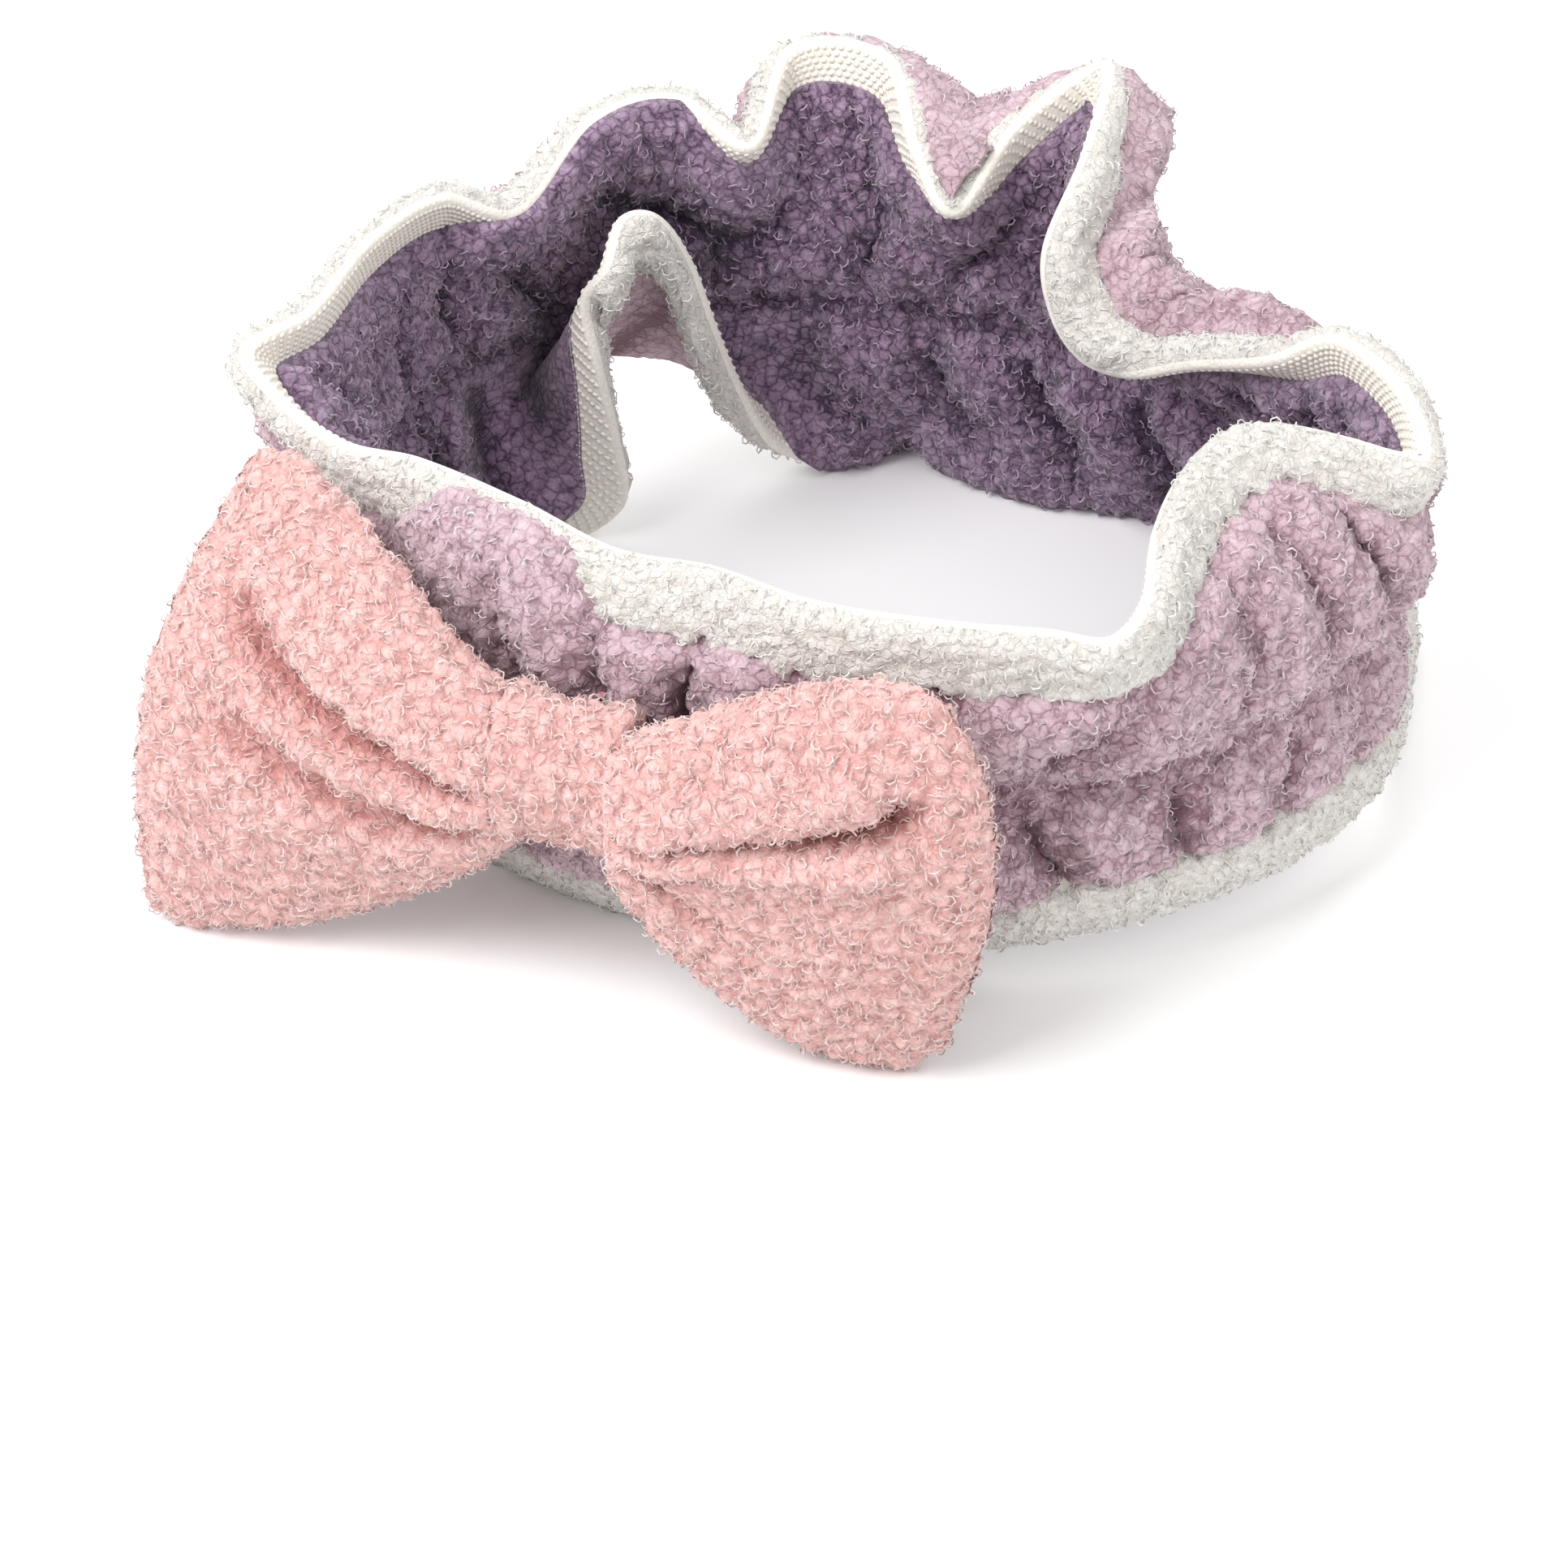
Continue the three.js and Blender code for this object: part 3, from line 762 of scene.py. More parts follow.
    def curled(self, source: bpy.types.Object, name: str, finish: bpy.types.Material,
               pile: Pile, seed: int = 1) -> bpy.types.Object:
        """Set curled yarn over a fleece piece, as a piece of its own.

        Args:
            source: the fleece piece.
            name: the new piece's name.
            finish: the yarn's material.
            pile: the sizes of its curls.
            seed: where the random places start.

        Returns:
            The new piece.
        """
        made = linked(name, source.data.copy())
        spacing = pile.curl_spacing * MM
        self.grow(made, self.curls, finish, {
            "Spacing": spacing, "Density": self.curl_crowding / spacing ** 2,
            "Loop Radius": pile.curl_radius * MM, "Yarn Radius": pile.yarn_radius * MM,
            "Seed": seed})
        rest_on_floor(made)
        return made


def rest_on_floor(target: bpy.types.Object) -> None:
    """Flatten what would sink under the plane that the headband stands on.

    Args:
        target: the piece to flatten.
    """
    count = len(target.data.vertices)
    places = np.empty(count * 3, np.float32)
    target.data.vertices.foreach_get("co", places)
    places[2::3] = np.maximum(places[2::3], 0.0)
    target.data.vertices.foreach_set("co", places)
    target.data.update()


# ---------- Band ----------

# Each edge's knots: the angle of the elastic that the cloth comes from, the edge's own angle,
# how far outside the elastic it stands, and its height. Angles start at the front.
UPPER_KNOTS = (
    (-1, -2, -3, 76), (9, 9, 0, 75), (22, 24, 4, 75), (30, 33, 6, 74), (37, 39, 9, 73),
    (44, 45, 2, 74), (53, 53, -12, 76), (62, 66, -21, 77), (71, 80, -22, 78),
    (78, 88, -15, 78), (84, 88, -4, 78), (89, 88, 5, 77), (94, 88, 10, 78), (101, 97, 4, 82),
    (110, 110, -6, 81), (119, 116, -15, 73), (129, 131, -22, 64), (137, 140, -27, 59),
    (144, 147, -30, 60), (151, 155, -29, 66), (157, 160, -24, 75), (163, 163, -6, 84),
    (169, 169, 19, 86), (175, 175, 3, 80), (180, 178, -16, 72), (187, 185, -8, 78),
    (192, 190, 8, 86), (201, 201, 8, 87), (208, 207, -11, 79), (216, 215, -2, 84),
    (229, 228, -5, 84), (243, 246, -13, 76), (256, 257, -7, 82), (270, 272, -2, 82),
    (284, 292, 6, 83),
    (293, 299, 18, 83), (301, 305, 14, 77), (309, 311, 8, 74), (319, 320, 2, 77),
    (334, 335, -1, 78), (347, 347, -1, 76),
)
LOWER_KNOTS = (
    (-5, -5, -6, 1), (14, 15, -5, 3), (35, 35, -1, 9), (55, 55, 0, 10),
    (77, 78, 4, 9), (95, 97, 6, 4), (107, 109, 10, 1), (121, 125, 21, 2),
    (132, 134, 24, 4), (144, 149, 16, 0), (157, 162, 13, 0), (168, 171, 5, -1),
    (179, 182, 7, 1), (187, 188, 15, 2), (193, 194, 7, -1), (198, 199, 0, 3),
    (203, 204, -6, 11), (208, 209, -12, 27), (213, 214, -17, 45), (217, 218, -18, 60),
    (222, 223, -18, 70), (227, 229, -18, 71), (232, 234, -21, 64), (236, 237, -19, 57),
    (240, 236, -21, 44), (244, 232, -20, 26), (249, 229, -16, 9), (255, 236, -9, -1),
    (262, 248, -2, 0), (272, 267, 4, 2), (285, 284, 0, -1), (300, 300, 2, 1),
    (316, 316, -4, -1), (335, 335, -4, 0),
)


@dataclass
class BandSurface:
    """Middle of the band's thickness, round the elastic loop. Sizes are in millimetres."""

    centre: tuple[float, float]
    width: float
    depth: float
    height: float
    elastic_wall: float = 1.1
    bulge: float = 3.0
    upper_upright: float = 23.0
    lower_upright: float = 28.0

    @classmethod
    def from_frame(cls) -> "BandSurface":
        """Read the elastic loop's place and size from the frame.

        Returns:
            The surface.
        """
        corners = [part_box("elastic_front"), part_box("elastic_back")]
        low = np.min([c[0] for c in corners], axis=0) / MM
        high = np.max([c[1] for c in corners], axis=0) / MM
        middle = (low + high) / 2
        size = high - low - cls.elastic_wall
        return cls((middle[0], middle[1]), size[0], size[1], middle[2])

    def loop(self, angle: np.ndarray, out: object, height: object) -> np.ndarray:
        """Points beside the elastic.

        Args:
            angle: places round the loop, in degrees.
            out: distances outside the elastic.
            height: heights over the floor.

        Returns:
            The points.
        """
        turn = np.radians(angle)
        return np.stack(np.broadcast_arrays(
            self.centre[0] + (self.width / 2 + out) * np.sin(turn),
            self.centre[1] - (self.depth / 2 + out) * np.cos(turn), height), -1)

    def edge(self, angle: np.ndarray, knots: Sequence[Sequence[float]]) -> np.ndarray:
        """Points on the closed smooth curve through an edge's knots.

        Args:
            angle: places round the loop, in degrees.
            knots: the edge's knots.

        Returns:
            The points.
        """
        table = np.array(knots, float)
        places = self.loop(table[:, 1], table[:, 2], table[:, 3])
        at = np.concatenate([[table[-1, 0] - TURN], table[:, 0], table[:2, 0] + TURN])
        places = np.concatenate([places[-1:], places, places[:2]])
        slopes = (places[2:] - places[:-2]) / (at[2:] - at[:-2])[:, None]
        wrapped = np.mod(angle - table[0, 0], TURN) + table[0, 0]
        i = np.clip(np.searchsorted(at, wrapped, "right") - 1, 1, len(table))
        span = (at[i + 1] - at[i])[..., None]
        t = (wrapped - at[i])[..., None] / span
        slope_after = np.concatenate([slopes, slopes[:1]])[i]
        return (places[i] * (2 * t ** 3 - 3 * t ** 2 + 1)
                + slopes[i - 1] * span * (t ** 3 - 2 * t ** 2 + t)
                + places[i + 1] * (3 * t ** 2 - 2 * t ** 3)
                + slope_after * span * (t ** 3 - t ** 2))

    def point(self, angle: np.ndarray, share: np.ndarray) -> np.ndarray:
        """Points of the surface.

        Args:
            angle: places round the loop, in degrees.
            share: 0 on the elastic, 1 on the upper edge and -1 on the lower.

        Returns:
            The points.
        """
        angle, share = np.broadcast_arrays(angle, share)
        reach = np.abs(share)[..., None]
        upper = (share >= 0)[..., None]
        root = self.loop(angle, 0.0, self.height)
        puff = self.bulge * np.sin(np.pi * np.minimum(reach, 1)) ** 2
        bulged = self.loop(angle, puff[..., 0], self.height)
        edge = np.where(upper, self.edge(angle, UPPER_KNOTS), self.edge(angle, LOWER_KNOTS))
        rise = np.where(upper, self.upper_upright, -self.lower_upright)
        upright = root + np.concatenate([np.zeros_like(root[..., :2]), rise], -1)
        return (bulged - root + root * (1 - reach) ** 2 + upright * 2 * reach * (1 - reach)
                + edge * reach ** 2)

    def normal(self, angle: np.ndarray, share: np.ndarray) -> np.ndarray:
        """Directions out of the band's outer face.

        Args:
            angle: places round the loop, in degrees.
            share: 0 on the elastic, 1 on the upper edge and -1 on the lower.

        Returns:
            Directions of length one.
        """
        turn, step = 1.5, 0.05
        along = self.point(angle + turn, share) - self.point(angle - turn, share)
        across = self.point(angle, share + step) - self.point(angle, share - step)
        out = np.cross(along, across)
        return out / np.linalg.norm(out, axis=-1, keepdims=True)

    def columns(self, spacing: float) -> np.ndarray:
        """Angles round the loop, evenly spaced along the cloth between its edges.

        Args:
            spacing: the distance between two columns.

        Returns:
            The angles, in degrees.
        """
        fine = np.linspace(0, TURN, 2881)
        steps = sum(np.linalg.norm(np.diff(self.point(fine, share), axis=0), axis=1)
                    for share in (-0.8, 0.0, 0.8)) / 3
        length = np.concatenate([[0], np.cumsum(steps)])
        count = int(length[-1] / spacing)
        return np.interp(np.arange(count) * length[-1] / count, length, fine)

    def cloth(self, angles: np.ndarray, side: int) -> tuple[np.ndarray, np.ndarray]:
        """Measure the cloth from the elastic to an edge.

        Args:
            angles: the columns, in degrees.
            side: 1 for the upper side, -1 for the lower.

        Returns:
            Shares, and for every column the cloth's length up to each of them.
        """
        shares = np.linspace(0, side, 41)
        places = self.point(angles[:, None], shares[None, :])
        steps = np.linalg.norm(np.diff(places, axis=1), axis=2)
        return shares, np.concatenate([np.zeros((len(angles), 1)), np.cumsum(steps, 1)], 1)

    def reach(self, angles: np.ndarray, side: int) -> np.ndarray:
        """The cloth's length from the elastic to an edge, for every column."""
        return self.cloth(angles, side)[1][:, -1]

    def shares_at(self, angles: np.ndarray, side: int, distance: np.ndarray) -> np.ndarray:
        """Shares at cloth distances from the elastic.

        Args:
            angles: the columns, in degrees.
            side: 1 for the upper side, -1 for the lower.
            distance: a (columns, rows) array of distances.

        Returns:
            The shares, in an array of the same shape.
        """
        shares, lengths = self.cloth(angles, side)
        return np.array([np.interp(row, length, shares)
                         for row, length in zip(distance, lengths)])


@dataclass
class Gathers:
    """Folds of cloth sewn to a shorter elastic: soft lobes with creases between them."""

    lobes: int = 25
    puff: float = 7.0
    pucker: float = 1.0
    fade: float = 8.0
    phase: float = 0.0

    def folds(self, angles: np.ndarray, distance: np.ndarray,
              part: np.ndarray) -> tuple[np.ndarray, np.ndarray]:
        """Lift in millimetres and how deep each place lies in a crease.

        Args:
            angles: places round the loop, in degrees.
            distance: signed cloth distances from the elastic.
            part: the same distances as shares of the way to the edge, from 0 to 1.

        Returns:
            The lift at every place, and its crease from 0 on a crown to 1 in a crease.
        """
        turn = np.radians(angles)
        side = np.sign(distance) * 0.9
        phase = (self.lobes * turn / (2 * np.pi) + 0.5 * np.sin(2 * turn + self.phase)
                 + 0.25 * np.sin(5 * turn + 1.7 * self.phase)
                 + 0.3 * np.sin(distance / 10 + 3 * turn + self.phase))
        crown = np.abs(np.sin(np.pi * phase)) ** 0.6
        size = 0.75 + 0.35 * np.sin(4 * turn + 2 * self.phase + side)
        body = smoothstep(0.02, 0.25, part) * (1 - smoothstep(0.42, 0.9, part))
        fine = np.sin(2 * self.lobes * turn + 1.5 * np.sin(7 * turn) + self.phase)
        near = np.exp(-np.abs(distance) / self.fade) * smoothstep(0.5, 4.0, np.abs(distance))
        lift = self.puff * size * (crown - 0.5) * body + self.pucker * fine * near
        # The crease darkens the fleece's colour as painted shade, in the creases between lobes and
        # along the groove beside the elastic.
        groove = np.exp(-(distance / 2.2) ** 2)
        return lift, np.clip((1 - crown) * size * body + 0.35 * groove, 0, 1)


@dataclass(frozen=True)
class Cover:
    """A stretch of the loop where a panel puffs out beside its edge tape, or over it."""

    face: int
    side: int
    start: float
    end: float
    rise: float = 0.6
    hide: float = 1.0
    soft: float = 9.0

    def strength(self, angles: np.ndarray) -> np.ndarray:
        """How strong the cover is, from 0 to 1, at angles of the loop."""
        return (smoothstep(self.start, self.start + self.soft, angles)
                * (1 - smoothstep(self.end - self.soft, self.end, angles)))


@dataclass
class Band:
    """The gathered loop: two fleece panels, two edge tapes, the elastic and the seams."""

    surface: BandSurface
    garden: Garden
    finishes: Finishes
    spacing: float = 0.85
    tape_width: float = 12.0
    knit_width: float = 8.8
    stretch_start: float = -50.0
    stretch_end: float = 52.0
    row_count: int = 35
    backing: float = 0.75
    root_lift: float = 1.9
    thin_lift: float = 1.4
    loft: dict[int, float] = field(default_factory=lambda: {-1: 1.7, 1: 2.8})
    covers: tuple[Cover, ...] = (
        Cover(1, 1, 318.0, 350.0, rise=3.2), Cover(1, 1, 160.0, 206.0, rise=8.5),
        Cover(1, 1, 118.0, 166.0, rise=7.0, hide=0.1), Cover(-1, -1, 100.0, 208.0),
        Cover(-1, 1, 204.0, 256.0, rise=1.5, soft=12.0), Cover(1, -1, 8.0, 122.0, -1.2, -0.12),
    )
    tight_folds: tuple[Cover, ...] = (
        Cover(1, -1, 194.0, 252.0, soft=8.0), Cover(-1, -1, 194.0, 256.0, soft=8.0),
    )

    def build(self) -> None:
        """Make every piece of the band."""
        self.angles = self.surface.columns(self.spacing)
        self.panel("outer_panel", 1, Gathers(), "mauve")
        self.panel("inner_panel", -1, Gathers(phase=2.0), "purple")
        for side, name in ((1, "upper"), (-1, "lower")):
            self.tape(name, side)
            self.seams(name, side)
        self.elastic()

    def span(self, piece: bpy.types.Object) -> None:
        """Bake a piece's place into its mesh and note its number of faces.

        Args:
            piece: the piece.
        """
        x, y = self.surface.centre
        (y + self.stretch_start) * MM
        (y + self.stretch_end) * MM
        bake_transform(piece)
        log.info("%s: %d faces", piece.name, len(piece.data.polygons))

    def panel(self, name: str, face: int, gathers: Gathers, colour: str) -> None:
        """One fleece panel: a pile face and a flat back, from one edge tape to the other.

        Args:
            name: the piece's name.
            face: 1 for the outer face of the band, -1 for the inner.
            gathers: the folds beside the elastic.
            colour: the fleece's colour by name.
        """
        walls = {side: self.wall(face, side, gathers) for side in (-1, 1)}
        shares, lift, thick, crease = (
            np.concatenate([low[:, :0:-1], high], 1) for low, high in zip(walls[-1], walls[1]))
        top = self.lifted(shares, lift * face)
        back_columns = np.linspace(0, shares.shape[1] - 1, 15).astype(int)[::-1]
        back = self.lifted(shares[:, back_columns], np.full((1, 1), self.backing * face))
        flat = np.zeros(back.shape[:2])
        # The crease attribute carries painted shade for the gathers' creases.
        made = tidy_closed(tube(name, np.concatenate([top, back], 1), attributes={
            "pile": np.concatenate([thick, flat], 1),
            "crease": np.concatenate([crease, flat], 1)}))
        self.garden.fleece(made, getattr(self.finishes, colour), PANEL_PILE)
        yarn = getattr(self.finishes, f"{colour}_yarn")
        piles = [self.garden.curled(made, f"{name}_pile_{seed}", yarn, PANEL_PILE, seed)
                 for seed in (1, 2)]
        for piece in (made, *piles):
            self.span(piece)
        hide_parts(f"{name}_front", f"{name}_back")

    def wall(self, face: int, side: int, gathers: Gathers) -> tuple[np.ndarray, ...]:
        """Half of a panel's pile face, from the elastic to one edge tape.

        Args:
            face: 1 for the outer face of the band, -1 for the inner.
            side: 1 for the upper half, -1 for the lower.
            gathers: the folds beside the elastic.

        Returns:
            Shares, lifts, how thick the pile is and how deep in a crease, by column and row.
        """
        under_tape = self.tape_width - 1.0 if face > 0 else self.knit_width - 1.2
        reach = self.surface.reach(self.angles, side)
        hidden = np.zeros(reach.shape)
        rise = np.zeros(reach.shape)
        for cover in self.covers:
            if (cover.face, cover.side) == (face, side):
                hidden += cover.hide * cover.strength(self.angles)
                rise += cover.rise * cover.strength(self.angles)
        hidden = np.minimum(hidden, 1.0)
        border = under_tape * (1 - hidden) + 0.3 * hidden
        way = np.linspace(0, 1, self.row_count)[None, :]
        distance = (reach - border)[:, None] * way
        part = distance / reach[:, None]
        rim = smoothstep(0.88, 1.0, way) * np.ones_like(part)
        base = (self.root_lift
                + smoothstep(1.0, 9.0, distance) * self.loft[side] * (1 - 0.7 * rim))
        folds, crease = gathers.folds(self.angles[:, None], side * distance, part)
        lift = base + folds + rise[:, None] * smoothstep(0.35, 0.8, part) * (1 - 0.75 * rim)
        squeeze = np.ones_like(part)
        for fold in self.tight_folds:
            if (fold.face, fold.side) == (face, side):
                inside = smoothstep(0.0, 0.14, part)
                squeeze -= 0.9 * fold.strength(self.angles)[:, None] * inside
        lift = self.thin_lift + (lift - self.thin_lift) * squeeze
        return (self.surface.shares_at(self.angles, side, distance),
                lift, (1 - 0.5 * rim) * squeeze, crease)

    def lifted(self, shares: np.ndarray, lift: np.ndarray) -> np.ndarray:
        """Points off the middle surface.

        Args:
            shares: a (columns, rows) array of shares.
            lift: how far off each point stands.

        Returns:
            The points.
        """
        angle = self.angles[:, None]
        lift = np.broadcast_to(lift, shares.shape)[..., None]
        return self.surface.point(angle, shares) + self.surface.normal(angle, shares) * lift

    def tape(self, name: str, side: int) -> None:
        """One edge tape: fuzzy outside, knitted inside, with its root between the panels.

        Args:
            name: the edge's name.
            side: 1 for the upper edge, -1 for the lower.
        """
        reach = self.tape_width
        outline = [
            (reach + 6, 0.35), (reach + 3, 0.5), (reach, 1.4), (reach - 0.5, 2.8),
            *[(back, 3.1 + 0.8 * math.sin(math.pi * back / reach))
              for back in np.linspace(reach - 1.3, 2.2, 14)],
            (1.4, 3.0), (0.7, 2.3), (0.25, 1.4), (0.0, 0.4), (0.0, -0.5), (0.5, -1.1),
            (1.2, -1.3), *[(back, -1.3) for back in np.linspace(2.4, self.knit_width + 1.5, 8)],
            (reach + 1, -0.6), (reach + 6, -0.35),
        ]
        backs = np.array([corner[0] for corner in outline])
        lifts = np.array([corner[1] for corner in outline])
        turn = np.radians(self.angles)
        wobble = (0.9 * np.sin(61 * turn + 2 * np.sin(7 * turn)) + 0.6 * np.sin(113 * turn + 1.3))
        ragged = wobble[:, None] * (smoothstep(reach - 4, reach, backs) * (lifts > 1.2))[None, :]
        distance = self.surface.reach(self.angles, side)[:, None] - backs[None, :] - ragged
        shares = self.surface.shares_at(self.angles, side, distance)
        fuzz = smoothstep(0.4, 1.6, lifts) * (1 - smoothstep(reach - 0.4, reach + 0.5, backs))
        pile = np.broadcast_to(fuzz, shares.shape)
        made = tidy_closed(tube(f"{name}_edge_tape", self.lifted(shares, lifts[None, :]),
                                attributes={"pile": pile}))
        self.garden.fleece(made, self.finishes.cream_knit, TAPE_PILE)
        self.paint_pile(made, self.finishes.cream_pile)
        curls = self.garden.curled(
            made, f"{name}_edge_tape_pile", self.finishes.cream_yarn, TAPE_PILE, 3)
        loops = self.knit_loops(name, side)
        for piece in (made, curls, loops):
            self.span(piece)
        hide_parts(f"{name}_edge_tape_front", f"{name}_edge_tape_back")

    @staticmethod
    def paint_pile(piece: bpy.types.Object, finish: bpy.types.Material) -> None:
        """Give the faces that carry pile their own finish.

        Args:
            piece: the piece.
            finish: the finish of its pile.
        """
        piece.data.materials.append(finish)
        pile = np.empty(len(piece.data.vertices), np.float32)
        piece.data.attributes["pile"].data.foreach_get("value", pile)
        corners = np.empty(len(piece.data.loops), np.int32)
        piece.data.loops.foreach_get("vertex_index", corners)
        starts = np.empty(len(piece.data.polygons), np.int32)
        piece.data.polygons.foreach_get("loop_start", starts)
        fuzzy = pile[corners[starts]] > 0.05
        piece.data.polygons.foreach_set("material_index", fuzzy.astype(np.int32))

    def knit_loops(self, name: str, side: int) -> bpy.types.Object:
        """Rows of raised knit loops on the inner face of a tape.

        Args:
            name: the edge's name.
            side: 1 for the upper edge, -1 for the lower.

        Returns:
            The piece.
        """
        columns = self.surface.columns(1.3)
        backs = np.arange(1.6, self.knit_width, 1.15)
        distance = self.surface.reach(columns, side)[:, None] - backs[None, :]
        shares = self.surface.shares_at(columns, side, distance)
        step = np.append(np.diff(columns), TURN - columns[-1] + columns[0])
        angle = columns[:, None] + step[:, None] * (np.arange(len(backs)) % 2)[None, :] / 2
        normal = self.surface.normal(angle, shares)
        places = self.surface.point(angle, shares) - normal * 1.34
        above = places[..., 2].ravel() > 0.2
        points = places.reshape(-1, 3)[above]
        made = mesh_object(f"{name}_tape_knit_loops", points, np.zeros((0, 3), int))
        facing = made.data.attributes.new("facing", "FLOAT_VECTOR", "POINT")
        facing.data.foreach_set("vector", (-normal.reshape(-1, 3)[above]).astype(
            np.float32).ravel())
        return self.garden.grow(made, self.garden.beads, self.finishes.cream_knit, {
            "Loop Width": 0.6 * MM, "Loop Rise": 0.24 * MM})

    def seam_line(self, name: str, side: int, distance: np.ndarray | float,
                  lift: float) -> bpy.types.Object:
        """A line of points round the loop, on the middle surface or off it.

        Args:
            name: the piece's name.
            side: 1 for the upper side, -1 for the lower.
            distance: how far along the cloth it lies from the elastic.
            lift: how far off the middle surface it lies.

        Returns:
            The piece, as a chain of edges.
        """
        distance = np.broadcast_to(distance, self.angles.shape)
        shares = self.surface.shares_at(self.angles, side, distance[:, None])
        points = self.lifted(shares, np.full((1, 1), lift))[:, 0]
        mesh = bpy.data.meshes.new(name)
        edges = [(i, (i + 1) % len(points)) for i in range(len(points))]
        mesh.from_pydata((points * MM).tolist(), edges, [])
        return linked(name, mesh)

    def seams(self, name: str, side: int) -> None:
        """The stitches that hold a tape, and those beside the elastic.

        Args:
            name: the edge's name.
            side: 1 for the upper edge, -1 for the lower.
        """
        beside_tape = self.surface.reach(self.angles, side) - (self.knit_width - 0.9)
        edge = self.seam_line(f"{name}_edge_seam", side, beside_tape, -1.5)
        self.garden.grow(edge, self.garden.stitches, self.finishes.cream_thread, {
            "Pitch": 2.8 * MM, "Length": 2.2 * MM, "Thread Radius": 0.2 * MM})
        channel = self.seam_line(f"{name}_channel_seam", side, 7.0, 0.0)
        self.garden.grow(channel, self.garden.stitches, self.finishes.mauve_thread, {
            "Pitch": 3.4 * MM, "Length": 2.6 * MM, "Thread Radius": 0.25 * MM})
        for piece, part in ((edge, "edge_seam"), (channel, "channel_seam")):
            self.span(piece)
            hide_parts(f"{name}_{part}_front", f"{name}_{part}_back")

    def elastic(self) -> None:
        """The woven elastic between the panels, ribbed along its length."""
        half_width, half_wall = 5.0, 0.5
        across = np.linspace(-half_width, half_width, 21)
        ribs = half_wall + 0.06 * np.cos(across * 2 * np.pi)
        across = np.concatenate([across, across[::-1]])
        lifts = np.concatenate([ribs, -ribs[::-1]])
        columns = self.surface.columns(2.5)
        height = self.surface.height
        rings = self.surface.loop(columns[:, None], lifts[None, :], height + across[None, :])
        made = tidy_closed(tube("elastic", rings))
        made.data.materials.append(self.finishes.elastic)
        self.span(made)
        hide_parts("elastic_front", "elastic_back")


# ---------- Bow ----------

@dataclass(frozen=True)
class Crease:
    """A fold in a wing's front: its path from the knot out, its depth, width and roll."""

    path: tuple[tuple[float, float], ...]
    depth: float
    width: float
    roll: float = 0.0


